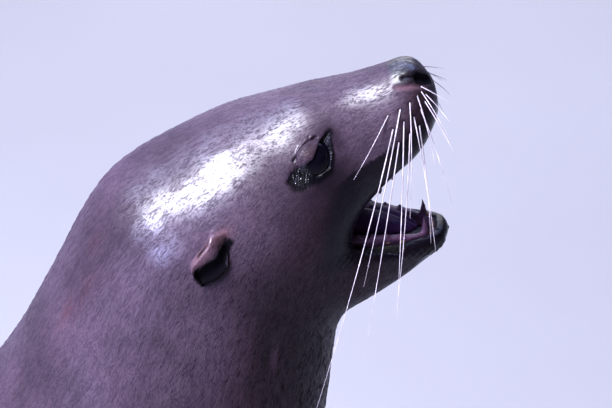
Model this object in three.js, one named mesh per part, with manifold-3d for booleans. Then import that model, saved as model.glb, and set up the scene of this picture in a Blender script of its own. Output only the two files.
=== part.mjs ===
// A California sea lion, life size, sitting up on its fore flippers, head raised and mouth open.
// Millimetres. +X is the way the animal faces, +Y its left, +Z up. The floor is Z = 0.
import * as THREE from 'three';
import { LoftGeometry } from 'three/addons/geometries/LoftGeometry.js';
import { mergeVertices } from 'three/addons/utils/BufferGeometryUtils.js';
import Module from 'manifold-3d';

const wasm = await Module();
wasm.setup();
const { Manifold } = wasm;
const { degToRad, radToDeg, lerp } = THREE.MathUtils;
const V = (x, y, z) => new THREE.Vector3(x, y, z);

// Driving dimensions
const NOSE_TO_EAR = 235;
const EAR = V(0, 0, 905);            // midpoint between the two ears
const HEAD_PITCH = degToRad(32.4);   // nose line above the horizontal
const GAPE = degToRad(39);           // jaw line below the head's own axis
const JAW_LENGTH = 182;              // hinge to chin
const HINGE = V(25, 0, -25);         // jaw hinge, in the head's own frame
const GAP = 0.3;                     // clearance between neighbouring pieces
const BODY_SIDES = 26;
const SET_DOWN = V(478.35, 0, 0);    // brings the middle of the base to the origin

// ---------------------------------------------------------------- frames

const HEAD = new THREE.Matrix4().makeTranslation(EAR.x, EAR.y, EAR.z)
  .multiply(new THREE.Matrix4().makeRotationY(-HEAD_PITCH));
const JAW = HEAD.clone()
  .multiply(new THREE.Matrix4().makeTranslation(HINGE.x, HINGE.y, HINGE.z))
  .multiply(new THREE.Matrix4().makeRotationY(GAPE));

const inHead = (x, y, z) => V(x, y, z).applyMatrix4(HEAD);
const inJaw = (x, y, z) => V(x, y, z).applyMatrix4(JAW);

// ---------------------------------------------------------------- solids

function solid(geometry) {
  const bare = geometry.index ? geometry.toNonIndexed() : geometry;
  const positions = new THREE.BufferGeometry().setAttribute('position', bare.getAttribute('position'));
  const merged = mergeVertices(positions, 1e-4);
  const { array } = merged.attributes.position;
  const corner = (i) => V(array[i * 3], array[i * 3 + 1], array[i * 3 + 2]);
  const faces = [];
  let volume = 0;
  for (let i = 0; i < merged.index.count; i += 3) {
    const [a, b, c] = [merged.index.getX(i), merged.index.getX(i + 1), merged.index.getX(i + 2)];
    if (a === b || b === c || c === a) continue;
    faces.push([a, b, c]);
    volume += corner(a).dot(corner(b).cross(corner(c)));
  }
  const outward = volume > 0 ? faces : faces.map(([a, b, c]) => [a, c, b]);
  const triVerts = new Uint32Array(outward.flat());
  return new Manifold(new wasm.Mesh({ numProp: 3, vertProperties: array, triVerts }));
}

function geometryOf(shape) {
  const mesh = shape.getMesh();
  const points = new Float32Array(mesh.numVert * 3);
  for (let i = 0; i < mesh.numVert; i++) {
    points.set(mesh.vertProperties.subarray(i * mesh.numProp, i * mesh.numProp + 3), i * 3);
  }
  const geometry = new THREE.BufferGeometry();
  geometry.setAttribute('position', new THREE.BufferAttribute(points, 3));
  geometry.setIndex(new THREE.BufferAttribute(mesh.triVerts, 1));
  geometry.computeVertexNormals();
  return geometry;
}

const mirrored = (shape) => solid(geometryOf(shape).scale(1, -1, 1));
const union = (shapes) => shapes.reduce((all, next) => all.add(next));

// A block on the side of a plane that its normal points to.
function halfSpace(point, normal) {
  const size = 4000;
  const block = new THREE.BoxGeometry(size, size, size).translate(0, 0, size / 2);
  const turn = new THREE.Quaternion().setFromUnitVectors(V(0, 0, 1), normal.clone().normalize());
  return solid(block.applyQuaternion(turn).translate(point.x, point.y, point.z));
}

const aboveFloor = (shape) => shape.intersect(halfSpace(V(0, 0, 0), V(0, 0, 1)));

// Two parts of a shape with a thin cut between them: ahead of the plane, then behind it.
function split(shape, point, normal) {
  const step = normal.clone().normalize().multiplyScalar(GAP / 2);
  return [
    shape.intersect(halfSpace(point.clone().add(step), normal)),
    shape.intersect(halfSpace(point.clone().sub(step), normal.clone().negate())),
  ];
}

// ---------------------------------------------------------------- lofts

function hermite(p1, m1, p2, m2, t) {
  const [t2, t3] = [t * t, t * t * t];
  return (2 * t3 - 3 * t2 + 1) * p1 + (t3 - 2 * t2 + t) * m1 + (3 * t2 - 2 * t3) * p2 + (t3 - t2) * m2;
}

// Extra stations between the named ones. Every number follows a Catmull-Rom curve along the centres.
function along(stations, steps) {
  const keys = Object.keys(stations[0]).filter((key) => typeof stations[0][key] === 'number');
  const last = stations.length - 1;
  const centre = (i) => V(stations[i].x, stations[i].y ?? 0, stations[i].z);
  const distance = stations.map(() => 0);
  for (let i = 1; i <= last; i++) distance[i] = distance[i - 1] + centre(i).distanceTo(centre(i - 1));
  const near = (i) => Math.min(Math.max(i, 0), last);
  const made = [];
  for (let i = 1; i <= last; i++) {
    const count = stations[i].steps ?? steps;
    for (let n = i === 1 ? 0 : 1; n <= count; n++) {
      const one = {};
      for (const key of keys) {
        const [p0, p1, p2, p3] = [i - 2, i - 1, i, i + 1].map((k) => stations[near(k)][key]);
        const [d0, d1, d2, d3] = [i - 2, i - 1, i, i + 1].map((k) => distance[near(k)]);
        const into = ((p2 - p0) / (d2 - d0)) * (d2 - d1);
        const out = ((p3 - p1) / (d3 - d1)) * (d2 - d1);
        one[key] = hermite(p1, into, p2, out, n / count);
      }
      made.push(one);
    }
  }
  return made;
}

const power = (value, exponent) => Math.sign(value) * Math.abs(value) ** exponent;

// An oval ring in the plane of two unit vectors. up and down are its heights over and under the widest
// level. round and flat are the orders of the upper and lower half: 2 is an ellipse, more is squarer.
// lead thins the trailing side, so 0 is even and 1 comes to an edge.
function oval(centre, side, rise, { half, up, down, round = 2, flat = 2, lead = 0 }, sides) {
  const ring = [];
  for (let j = 0; j < sides; j++) {
    const angle = (2 * Math.PI * j) / sides;
    const [c, s] = [Math.cos(angle), Math.sin(angle)];
    const order = s > 0 ? round : flat;
    const thin = 1 - lead * (1 - c) / 2;
    ring.push(centre.clone()
      .addScaledVector(side, half * power(c, 2 / order))
      .addScaledVector(rise, (s > 0 ? up : down) * thin * power(s, 2 / order)));
  }
  return ring;
}

const middleOf = (ring) => (
  ring.reduce((sum, point) => sum.add(point), V(0, 0, 0)).divideScalar(ring.length)
);

// A closed loft through rings. An end with a point beyond it is drawn to that point, or else it is flat.
// Rings that wind the wrong way round the line of their middles are turned over.
function loft(rings, { start, end } = {}) {
  const [first, second] = [middleOf(rings[0]), middleOf(rings[1])];
  const area = V(0, 0, 0);
  rings[0].forEach((point, j) => {
    const next = rings[0][(j + 1) % rings[0].length];
    area.add(point.clone().sub(first).cross(next.clone().sub(first)));
  });
  const winds = area.dot(second.sub(first)) > 0;
  const sections = rings.map((ring) => (winds ? [...ring] : [...ring].reverse()));
  if (start) sections.unshift(rings[0].map(() => start.clone()));
  if (end) sections.push(rings[0].map(() => end.clone()));
  return solid(new LoftGeometry(sections, { capStart: !start, capEnd: !end }));
}

// A soft swelling of every ring point near a place, outwards from the ring's middle.
function swell(rings, centre, reach, height) {
  for (const ring of rings) {
    const middle = middleOf(ring);
    for (const point of ring) {
      const away = point.distanceTo(centre) / reach;
      point.addScaledVector(point.clone().sub(middle).normalize(), height * Math.exp(-away * away));
    }
  }
}

const grow = (stations, by) => stations.map((s) => (
  { ...s, up: s.up + by, down: s.down + by, half: s.half + by }
));

// The same stations with the first and the last moved along x.
const shift = (stations, first, last) => stations.map((s, i) => (
  { ...s, x: s.x + (i === 0 ? first : 0) + (i === stations.length - 1 ? last : 0) }
));

// Rings across the x axis of a frame, such as the head's.
function ringsIn(matrix, stations, steps, sides, shape = {}) {
  const side = V(0, 1, 0).transformDirection(matrix);
  const rise = V(0, 0, 1).transformDirection(matrix);
  return along(stations, steps).map((station) => {
    const centre = V(station.x, station.y ?? 0, station.z).applyMatrix4(matrix);
    return oval(centre, side, rise, { ...station, ...shape }, sides);
  });
}

// A limb of the left side. yaw: the way its leading edge points, in degrees from +X outwards;
// wide and thick: half its width and half its thickness.
function limb(stations, steps, sides, { start, end, lead = 0, order = 2, grown = 0 } = {}) {
  const path = along(stations, steps);
  const centre = (s) => V(s.x, s.y, s.z);
  const rings = path.map((s, i) => {
    const ahead = centre(path[Math.min(i + 1, path.length - 1)]);
    const tangent = ahead.sub(centre(path[Math.max(i - 1, 0)])).normalize();
    const across = V(Math.cos(degToRad(s.yaw)), Math.sin(degToRad(s.yaw)), 0);
    across.addScaledVector(tangent, -across.dot(tangent)).normalize();
    const normal = tangent.clone().cross(across);
    const height = s.thick + grown;
    const size = { half: s.wide + grown, up: height, down: height, lead, round: order, flat: order };
    return oval(centre(s), across, normal, size, sides);
  });
  return loft(rings, { start, end });
}

// ---------------------------------------------------------------- trunk, neck and head

// pitch: the way the body runs towards the head, in degrees above the horizontal.
// up and down: back and belly heights from the widest level; half: half the width there.
const BODY = [
  { name: 'tail_root', x: -1076, z: 58, pitch: 12, up: 26, down: 28, half: 34 },
  { name: 'rump', x: -1022, z: 76, pitch: 12, up: 60, down: 64, half: 74 },
  { name: 'croup', x: -940, z: 98, pitch: 13, up: 96, down: 100, half: 112 },
  { name: 'hips', x: -835, z: 127, pitch: 15, up: 128, down: 134, half: 144 },
  { name: 'loin', x: -690, z: 168, pitch: 19, up: 154, down: 172, half: 170 },
  { name: 'waist', x: -530, z: 230, pitch: 27, up: 174, down: 196, half: 190 },
  { name: 'ribs', x: -376, z: 320, pitch: 37, up: 184, down: 222, half: 200 },
  { name: 'withers', x: -240, z: 434, pitch: 48, up: 180, down: 246, half: 192 },
  { name: 'shoulders', x: -142, z: 548, pitch: 58, up: 170, down: 244, half: 172 },
  { name: 'neck_base', x: -62, z: 670, pitch: 65, up: 154, down: 172, half: 147, steps: 3 },
  { name: 'neck', x: -14, z: 785, pitch: 65, up: 141, down: 136, half: 122, steps: 3 },
];

const HEAD_STATIONS = [
  { name: 'nape', x: -17, z: -42, pitch: 27.6, up: 124, down: 128, half: 107 },
  { name: 'ears', x: 29, z: -22, pitch: 15, up: 96, down: 132, half: 96 },
  { name: 'cheeks', x: 64, z: -20, pitch: 4, up: 88, down: 120, half: 86 },
  { name: 'eyes', x: 106, z: -26, pitch: 0, up: 83, down: 60, half: 67 },
  { name: 'stop', x: 140, z: -28, pitch: 0, up: 74, down: 40, half: 52 },
  { name: 'whisker_pads', x: 175, z: -26, pitch: 0, up: 64, down: 27, half: 44 },
  { name: 'muzzle', x: 203, z: -19, pitch: 0, up: 51, down: 25, half: 37 },
  { name: 'nostrils', x: 220, z: -9, pitch: 0, up: 37, down: 23, half: 27, steps: 1 },
  { name: 'nose', x: 229, z: -2, pitch: 0, up: 24, down: 14, half: 17, steps: 1 },
];

// A head station in the part's own frame.
function headStation({ x, z, pitch, ...rest }) {
  const at = inHead(x, 0, z);
  return { x: at.x, z: at.z, pitch: pitch + radToDeg(HEAD_PITCH), ...rest };
}

const TAIL = [
  { name: 'root', x: -1030, y: 0, z: 72, wide: 36, thick: 30, yaw: 90 },
  { name: 'middle', x: -1100, y: 0, z: 48, wide: 24, thick: 17, yaw: 90 },
  { name: 'end', x: -1158, y: 0, z: 34, wide: 13, thick: 9, yaw: 90 },
];

// A ring grows along its own plane, so it grows by more than the gap where the skin slants across it.
const SLANT_ROOM = 1.4;

function bodySolid(grown = 0) {
  const rings = along([...BODY, ...HEAD_STATIONS.map(headStation)], 2).map((station) => {
    const pitch = degToRad(station.pitch);
    const rise = V(-Math.sin(pitch), 0, Math.cos(pitch));
    const shape = { ...station, round: 2.05, flat: 2.15 };
    return oval(V(station.x, 0, station.z), V(0, 1, 0), rise, shape, BODY_SIDES);
  });
  for (const way of [1, -1]) {
    swell(rings, V(-165, way * 160, 400), 120, 14);     // shoulder blade and upper arm
    swell(rings, V(-900, way * 130, 90), 95, 16);       // thigh
    swell(rings, inHead(138, way * 28, 44), 24, 5);     // brow
    swell(rings, inHead(184, way * 38, -32), 24, 6);    // whisker pad
    swell(rings, inHead(86, way * 70, -50), 36, 3);     // cheek
  }
  if (grown) {
    for (const ring of rings) {
      const middle = middleOf(ring);
      for (const point of ring) {
        point.addScaledVector(point.clone().sub(middle).normalize(), grown * SLANT_ROOM);
      }
    }
  }
  return loft(rings, { end: inHead(NOSE_TO_EAR + grown, 0, 3), start: V(-1090 - grown, 0, 54) });
}

// ---------------------------------------------------------------- lower jaw

// In the jaw's frame: x runs from the hinge to the chin, z is up out of the mouth.
const JAW_STATIONS = [
  { name: 'throat', x: -20, z: -52, up: 30, down: 36, half: 66 },
  { name: 'angle', x: 40, z: -52, up: 40, down: 58, half: 74 },
  { name: 'corner', x: 84, z: -36, up: 36, down: 62, half: 64 },
  { name: 'cheek_teeth', x: 114, z: -20, up: 20, down: 59, half: 50 },
  { name: 'mid_jaw', x: 142, z: -12, up: 12, down: 42, half: 39 },
  { name: 'canines', x: 163, z: -6, up: 10, down: 25, half: 29 },
  { name: 'chin', x: 176, z: -2, up: 8, down: 11, half: 17 },
];

const jawSolid = () => loft(
  ringsIn(JAW, JAW_STATIONS, 2, 20, { round: 2.8, flat: 2.1 }), { end: inJaw(JAW_LENGTH, 0, 0) },
);

// ---------------------------------------------------------------- mouth

// The hollow between the jaws, which goes on behind the corners of the mouth.
const GULLET = [
  { name: 'pharynx', x: 30, z: -66, up: 14, down: 14, half: 20 },
  { name: 'back', x: 70, z: -76, up: 22, down: 24, half: 36 },
  { name: 'mouth', x: 104, z: -90, up: 28, down: 32, half: 47 },
  { name: 'open', x: 128, z: -104, up: 28, down: 34, half: 48 },
];

// The roof of the mouth, let into the underside of the muzzle.
const ROOF = [
  { name: 'back', x: 104, z: -71, up: 14, down: 22, half: 41 },
  { name: 'cheek_teeth', x: 140, z: -62, up: 15, down: 18, half: 33 },
  { name: 'canines', x: 185, z: -46, up: 12, down: 18, half: 25 },
  { name: 'front', x: 208, z: -40, up: 8, down: 14, half: 16 },
];

// The floor of the mouth inside the lower lips.
const FLOOR = [
  { name: 'back', x: 62, z: -2, up: 26, down: 22, half: 46 },
  { name: 'cheek_teeth', x: 104, z: 0, up: 22, down: 20, half: 40 },
  { name: 'canines', x: 150, z: 2, up: 20, down: 14, half: 27 },
  { name: 'front', x: 169, z: 3, up: 14, down: 9, half: 14 },
];

const UPPER_TEETH = { from: V(124, 29, -62), to: V(172, 21, -47), count: 4, height: 9, width: 9 };
const UPPER_CANINE = { at: V(189, 17, -38), height: 13, width: 10 };
const LOWER_TEETH = { from: V(98, 34, -6), to: V(138, 26, -5), count: 4, height: 11, width: 9 };
const LOWER_CANINE = { at: V(159, 16, -6), height: 27, width: 10 };

const TONGUE = [
  { name: 'root', x: 64, z: -4, up: 7, down: 8, half: 27 },
  { name: 'middle', x: 100, z: 1, up: 11, down: 10, half: 24 },
  { name: 'blade', x: 130, z: -1, up: 8, down: 6, half: 18 },
  { name: 'tip', x: 148, z: -3, up: 4, down: 3, half: 10 },
];

// A tooth is a cone bent back along its length. Its root is in the frame of the head or the jaw.
function tooth(matrix, root, rise, height, width) {
  const steps = 3;
  const bend = V(-0.2, 0, 0);
  const at = (t) => root.clone()
    .addScaledVector(rise, height * t)
    .addScaledVector(bend, height * t * t);
  const rings = [];
  for (let i = 0; i < steps; i++) {
    const size = (width / 2) * (1 - 0.8 * (i / steps) ** 1.5);
    const section = { half: size * 0.8, up: size, down: size };
    rings.push(oval(at(i / steps), V(0, 1, 0), V(1, 0, 0), section, 6)
      .map((point) => point.applyMatrix4(matrix)));
  }
  return loft(rings, { end: at(1).applyMatrix4(matrix) });
}

function teeth(matrix, rise, { from, to, count, height, width }, canine, grown = 0) {
  const row = Array.from({ length: count }, (_, i) => from.clone().lerp(to, i / (count - 1)));
  const foot = rise.clone().multiplyScalar(-grown);
  const left = [
    ...row.map((root) => tooth(matrix, root.add(foot), rise, height, width + 2 * grown)),
    tooth(matrix, canine.at.clone().add(foot), rise, canine.height, canine.width + 2 * grown),
  ];
  return [...left, ...left.map(mirrored)];
}

// The gums line the roof and the floor of the mouth and carry the teeth.
function upperGum() {
  const lining = loft(ringsIn(HEAD, grow(ROOF, -GAP), 1, 12, { round: 2.4 }));
  const slab = shift(ROOF, -6, 6)
    .map((s) => ({ ...s, z: s.z + 8, up: s.up + 8, down: 5, half: s.half + 8 }));
  const vault = shift(ROOF, -6, -5)
    .map((s) => ({ ...s, z: s.z - 10, up: 14, down: 22, half: s.half * 0.68 }));
  const arch = lining.intersect(loft(ringsIn(HEAD, slab, 1, 12, { flat: 5 })))
    .subtract(loft(ringsIn(HEAD, vault, 1, 12)));
  return union([arch, ...teeth(HEAD, V(0, 0, -1), UPPER_TEETH, UPPER_CANINE)]);
}

function lowerGum() {
  const lining = loft(ringsIn(JAW, grow(FLOOR, -GAP), 1, 12, { flat: 2.6 }));
  const slab = shift(FLOOR, -6, 6)
    .map((s) => ({ ...s, z: s.z - 6, up: 5, down: s.down + 12, half: s.half + 8 }));
  const trough = shift(FLOOR, -6, -5)
    .map((s) => ({ ...s, z: s.z + 2, up: 34, down: 15, half: s.half * 0.7 }));
  const ridge = lining.intersect(loft(ringsIn(JAW, slab, 1, 12, { round: 5 })))
    .subtract(loft(ringsIn(JAW, trough, 1, 12, { flat: 2.4 })));
  return union([ridge, ...teeth(JAW, V(0, 0, 1), LOWER_TEETH, LOWER_CANINE)]);
}

// ---------------------------------------------------------------- eyes, ears and nose

// The eyeball is mostly behind the lids.
const EYE = { at: V(111, 43, 8), radius: 20 };

// The ear is a small rolled leaf that hangs back from its root.
const EAR_STATIONS = [
  { name: 'root', x: 22, y: 80, z: -4, wide: 11, thick: 8 },
  { name: 'fold', x: 13, y: 97, z: 3, wide: 12, thick: 8 },
  { name: 'blade', x: 1, y: 105, z: -3, wide: 11.5, thick: 6.5 },
  { name: 'hook', x: -12, y: 109, z: -7, wide: 9.5, thick: 4.5 },
];
const EAR_TIP = V(-21, 110, -18);
const EAR_WIDTH = V(0.42, 0, -0.9).normalize();
const EAR_THROUGH = V(0.35, 0.85, 0.1).normalize();

const eyeball = (grown = 0) => {
  const centre = EYE.at.clone().applyMatrix4(HEAD);
  const ball = new THREE.SphereGeometry(EYE.radius + grown, 14, 8);
  return solid(ball.translate(centre.x, centre.y, centre.z));
};

function ear() {
  const rings = EAR_STATIONS.map((s) => {
    const size = { half: s.wide, up: s.thick, down: s.thick };
    return oval(V(s.x, s.y, s.z), EAR_WIDTH, EAR_THROUGH, size, 10)
      .map((point) => point.applyMatrix4(HEAD));
  });
  return loft(rings, { end: EAR_TIP.clone().applyMatrix4(HEAD) });
}

// A nostril is a slit that runs down and outwards on the front of the nose.
const NOSTRIL = { top: V(225, 5, 16), bottom: V(222, 14, 3), depth: 9, wide: 3, narrow: 2 };

function nostril() {
  const rings = [0, 0.5, 1].map((t) => {
    const across = lerp(NOSTRIL.wide, NOSTRIL.narrow, t);
    const size = { half: NOSTRIL.depth, up: across, down: across };
    return oval(NOSTRIL.top.clone().lerp(NOSTRIL.bottom, t), V(1, 0, 0), V(0, 0.8, 0.6), size, 8)
      .map((point) => point.applyMatrix4(HEAD));
  });
  return loft(rings);
}

// ---------------------------------------------------------------- flippers

const FORE = [
  { name: 'shoulder', x: -170, y: 104, z: 395, wide: 104, thick: 56, yaw: 0 },
  { name: 'elbow', x: -164, y: 166, z: 272, wide: 90, thick: 50, yaw: 0 },
  { name: 'forearm', x: -142, y: 212, z: 165, wide: 72, thick: 38, yaw: 4 },
  { name: 'wrist', x: -124, y: 250, z: 74, wide: 68, thick: 28, yaw: 12 },
  { name: 'heel', x: -130, y: 294, z: 20, wide: 74, thick: 21, yaw: 24 },
  { name: 'palm', x: -156, y: 350, z: 10.2, wide: 78, thick: 15, yaw: 31 },
  { name: 'hand', x: -202, y: 426, z: 8.4, wide: 74, thick: 12, yaw: 34 },
  { name: 'fingers', x: -256, y: 504, z: 6.5, wide: 60, thick: 9.5, yaw: 36 },
  { name: 'near_tip', x: -300, y: 560, z: 5, wide: 39, thick: 7.5, yaw: 38 },
  { name: 'tip', x: -324, y: 590, z: 3.8, wide: 18, thick: 5.5, yaw: 39 },
];
const FORE_END = V(-334, 602, 3);

// The hind foot is turned forwards. Its stations run along the sole from the heel, and the shank is
// inside the rump.
const HEEL = V(-986, 122, 0);
const FOOT_HEADING = 32;
const SHANK = [
  { name: 'knee', x: -900, y: 62, z: 96, wide: 64, thick: 60, yaw: 90 },
  { name: 'shank', x: -952, y: 92, z: 74, wide: 58, thick: 54, yaw: 90 },
  { name: 'ankle', x: -990, y: 118, z: 46, wide: 42, thick: 40, yaw: 90 },
];
const FOOT = [
  { name: 'heel', along: -24, z: 38, wide: 22, thick: 18 },
  { name: 'ankle', along: -8, z: 36, wide: 40, thick: 34 },
  { name: 'sole', along: 40, z: 27, wide: 50, thick: 28 },
  { name: 'instep', along: 96, z: 17, wide: 58, thick: 18.5 },
  { name: 'toe_roots', along: 158, z: 11.5, wide: 68, thick: 12.5 },
  { name: 'web', along: 222, z: 7.5, wide: 80, thick: 7.5 },
  { name: 'web_edge', along: 268, z: 5.5, wide: 86, thick: 4.5 },
];
const TOES = { from: 142, spread: 12, apart: 27, inner: 178, outer: 214, wide: 14, thick: 9.5 };
const NAIL = { length: 20, half: 4.2, thick: 3.2, share: 0.62 };

const footPoint = (ahead, aside, z) => {
  const heading = degToRad(FOOT_HEADING);
  return V(HEEL.x + ahead * Math.cos(heading) + aside * Math.sin(heading),
    HEEL.y + ahead * Math.sin(heading) - aside * Math.cos(heading), z);
};

// One toe of the left foot: index -2 is the first toe, on the outer side, and 2 the fifth.
function toeStations(index) {
  const { from, spread, apart, inner, outer, wide, thick } = TOES;
  const turn = degToRad(FOOT_HEADING - index * spread);
  const length = lerp(inner, outer, Math.abs(index) / 2);
  const start = footPoint(from, index * apart, 0);
  const yaw = radToDeg(turn) + 90;
  const size = Math.abs(index) === 2 ? 1.2 : 1;
  return [[0, 1, 1], [0.4, 0.96, 0.88], [0.75, 0.86, 0.66], [0.94, 0.66, 0.45]].map(([t, w, h]) => {
    const place = start.clone().addScaledVector(V(Math.cos(turn), Math.sin(turn), 0), length * t);
    return { x: place.x, y: place.y, z: thick * h - 1, wide: wide * w * size, thick: thick * h, yaw };
  });
}

function hindFlipper(grown = 0) {
  const toes = [-2, -1, 0, 1, 2].map((index) => {
    const stations = toeStations(index);
    const [near, last] = stations.slice(-2);
    const end = V(last.x + (last.x - near.x) * 0.3, last.y + (last.y - near.y) * 0.3, 3);
    return limb(stations, 1, 7, { end, grown });
  });
  const foot = FOOT.map(({ along: ahead, ...size }) => {
    const { x, y } = footPoint(ahead, 0, 0);
    return { ...size, x, y, yaw: FOOT_HEADING + 90 };
  });
  const heel = footPoint(-34 - grown, 0, 36);
  const shank = limb(SHANK, 1, 10, { end: footPoint(-22, 0, 30), grown });
  return union([limb(foot, 1, 12, { order: 2.2, grown, start: heel }), shank, ...toes]);
}

// A nail lies on top of a middle toe, short of its end.
function nail(index) {
  const stations = toeStations(index);
  const [a, b] = [stations[0], stations[3]];
  const heading = V(b.x - a.x, b.y - a.y, 0).normalize();
  const start = V(lerp(a.x, b.x, NAIL.share), lerp(a.y, b.y, NAIL.share), 0);
  const rings = [[0, 0.7, 13.5], [0.4, 1, 13.8], [0.8, 0.8, 12]].map(([t, size, z]) => {
    const centre = start.clone().addScaledVector(heading, NAIL.length * t).setZ(z);
    const across = V(-heading.y, heading.x, 0);
    const section = { half: NAIL.half * size, up: NAIL.thick * size, down: 5 };
    return oval(centre, across, V(0, 0, 1), section, 8);
  });
  return loft(rings, { end: start.clone().addScaledVector(heading, NAIL.length).setZ(9) });
}

// ---------------------------------------------------------------- pieces

const FLESH = '#6b5560';
const pieces = [];

function add(name, shape, color, roughness = 0.5) {
  const material = new THREE.MeshStandardMaterial({ color, roughness, metalness: 0 });
  const geometry = geometryOf(shape).translate(SET_DOWN.x, SET_DOWN.y, SET_DOWN.z);
  const mesh = new THREE.Mesh(geometry, material);
  mesh.name = name;
  pieces.push(mesh);
}

const body = aboveFloor(bodySolid());
const bodyRoom = bodySolid(GAP);
const mouth = union([
  loft(ringsIn(HEAD, GULLET, 1, 12)),
  loft(ringsIn(HEAD, ROOF, 1, 12, { round: 2.4 })),
  loft(ringsIn(JAW, FLOOR, 1, 12, { flat: 2.6 })),
]);

// A plane across the body, its normal at an angle above the horizontal in degrees.
const cutAcross = (at, slope) => (
  { at, normal: V(Math.cos(degToRad(slope)), 0, Math.sin(degToRad(slope))) }
);
const NECK_CUT = cutAcross(inHead(-40, 0, -50), 62);
const TRUNK_CUT = cutAcross(V(-62, 0, 670), 62);
const HIP_CUT = cutAcross(V(-690, 0, 168), 19);

const [headBlank, below] = split(body, NECK_CUT.at, NECK_CUT.normal);
const [neck, lower] = split(below, TRUNK_CUT.at, TRUNK_CUT.normal);
const [trunk, hips] = split(lower, HIP_CUT.at, HIP_CUT.normal);

const hollows = [eyeball(GAP), nostril()];
const upperRoom = teeth(HEAD, V(0, 0, -1), UPPER_TEETH, UPPER_CANINE, GAP);
const lowerRoom = teeth(JAW, V(0, 0, 1), LOWER_TEETH, LOWER_CANINE, GAP);
const headRoom = union([mouth, ...upperRoom, ...hollows, ...hollows.map(mirrored)]);
add('head', headBlank.subtract(headRoom), FLESH);
add('lower_jaw', jawSolid().subtract(union([bodyRoom, mouth, ...lowerRoom])), FLESH);
add('neck', neck, FLESH);
add('trunk', trunk, FLESH);
add('hindquarters', hips, FLESH);
add('tail', aboveFloor(limb(TAIL, 2, 14, { end: V(-1172, 0, 30) }).subtract(bodyRoom)), FLESH);
add('upper_gum', upperGum(), '#6e4a60');
add('lower_gum', lowerGum(), '#6e4a60');
add('tongue', loft(ringsIn(JAW, TONGUE, 2, 12), { end: inJaw(154, 0, -4) }), '#3c3554', 0.35);
add('eye_left', eyeball(), '#0b0810', 0.08);
add('eye_right', mirrored(eyeball()), '#0b0810', 0.08);

// A piece on each side, kept clear of the body.
const addPair = (name, shape, color, roughness) => {
  add(`${name}_left`, shape.subtract(bodyRoom), color, roughness);
  add(`${name}_right`, mirrored(shape).subtract(bodyRoom), color, roughness);
};

addPair('ear', ear(), FLESH);
const arm = limb(FORE, 2, 14, { end: FORE_END, lead: 0.45, order: 2.1 });
addPair('fore_flipper', aboveFloor(arm), '#3a2d35');
addPair('hind_flipper', aboveFloor(hindFlipper()), '#3a2d35');
const footRoom = hindFlipper(GAP);
for (const index of [-1, 0, 1]) {
  addPair(`hind_nail_${index + 2}`, nail(index).subtract(footRoom), '#2b2224', 0.35);
}

const seaLion = new THREE.Group();
seaLion.name = 'sea_lion';
seaLion.add(...pieces);

export default seaLion;
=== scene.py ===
"""A life-size California sea lion sitting up on its fore flippers, its head raised and its mouth open.

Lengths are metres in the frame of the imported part. +X is the way the animal faces, +Y its left, +Z up.
"""

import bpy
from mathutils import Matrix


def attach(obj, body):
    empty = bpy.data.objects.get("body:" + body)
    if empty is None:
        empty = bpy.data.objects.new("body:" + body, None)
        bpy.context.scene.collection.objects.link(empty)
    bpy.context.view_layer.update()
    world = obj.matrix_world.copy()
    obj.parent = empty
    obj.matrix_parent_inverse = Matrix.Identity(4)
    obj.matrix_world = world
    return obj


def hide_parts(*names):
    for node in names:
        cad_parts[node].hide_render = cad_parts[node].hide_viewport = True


bl_info = {
    "name": "Sea lion",
    "version": (1, 0, 0),
    "blender": (4, 5, 0),
    "location": "3D View > Sidebar > Sea lion",
    "description": "Builds the skin, coat, eyes, mouth and whiskers of a life-size sea lion",
    "category": "Object",
}

import math

import bmesh
import bpy
import numpy as np
from bpy.props import FloatProperty, FloatVectorProperty, IntProperty, PointerProperty
from mathutils import Matrix, Vector
from mathutils.bvhtree import BVHTree

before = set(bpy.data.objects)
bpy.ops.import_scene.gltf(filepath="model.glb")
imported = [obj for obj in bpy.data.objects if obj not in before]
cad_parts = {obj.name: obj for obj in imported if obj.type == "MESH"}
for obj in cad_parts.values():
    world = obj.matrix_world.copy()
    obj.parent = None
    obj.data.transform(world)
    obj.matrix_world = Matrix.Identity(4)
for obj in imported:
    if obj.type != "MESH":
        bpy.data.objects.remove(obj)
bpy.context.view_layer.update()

MM = 0.001
GROWTH = 0.35 * MM      # how far each solid is grown before they are joined
TUFT_ROOT = 0.6 * MM    # how deep a tuft stands in the skin
PATCH = 0.0015          # half the width of a tuft's patch on the skin's map
SIDES = (("left", 1.0), ("right", -1.0))
FLESH = (
    "head", "lower_jaw", "neck", "trunk", "hindquarters", "tail",
    "fore_flipper_left", "fore_flipper_right", "hind_flipper_left", "hind_flipper_right",
)

# ---- frames of the head and the jaw

HEAD_PITCH = math.radians(32.4)
JAW_PITCH = math.radians(-6.6)
EAR_MIDDLE = np.array([0.47835, 0.0, 0.905])


class LocalFrame:
    """Axes of the head or the jaw, with lengths in millimetres: x ahead, y left, z up."""

    def __init__(self, origin, pitch):
        self.origin = np.asarray(origin, float)
        c, s = math.cos(pitch), math.sin(pitch)
        self.axes = np.array([[c, 0.0, s], [0.0, 1.0, 0.0], [-s, 0.0, c]])

    def into(self, points):
        return (np.atleast_2d(points) - self.origin) @ self.axes.T / MM

    def out(self, points):
        return np.atleast_2d(points) * MM @ self.axes + self.origin

    def turned(self, directions):
        return np.atleast_2d(directions) @ self.axes


HEAD = LocalFrame(EAR_MIDDLE, HEAD_PITCH)
JAW = LocalFrame(HEAD.out([25.0, 0.0, -25.0])[0], JAW_PITCH)

# The body's middle line from nose to tail in metres. Its first four places are laid in the head's frame.
MIDDLE_LINE = np.array([
    HEAD.out([x, 0.0, z])[0] for x, z in ((240.0, 0.0), (140.0, 0.0), (40.0, -20.0), (-17.0, -42.0))
] + [
    (x + EAR_MIDDLE[0], 0.0, z) for x, z in (
        (-0.062, 0.670), (-0.142, 0.548), (-0.240, 0.434), (-0.376, 0.320),
        (-0.530, 0.230), (-0.690, 0.168), (-0.940, 0.098), (-1.172, 0.030))
])

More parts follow.
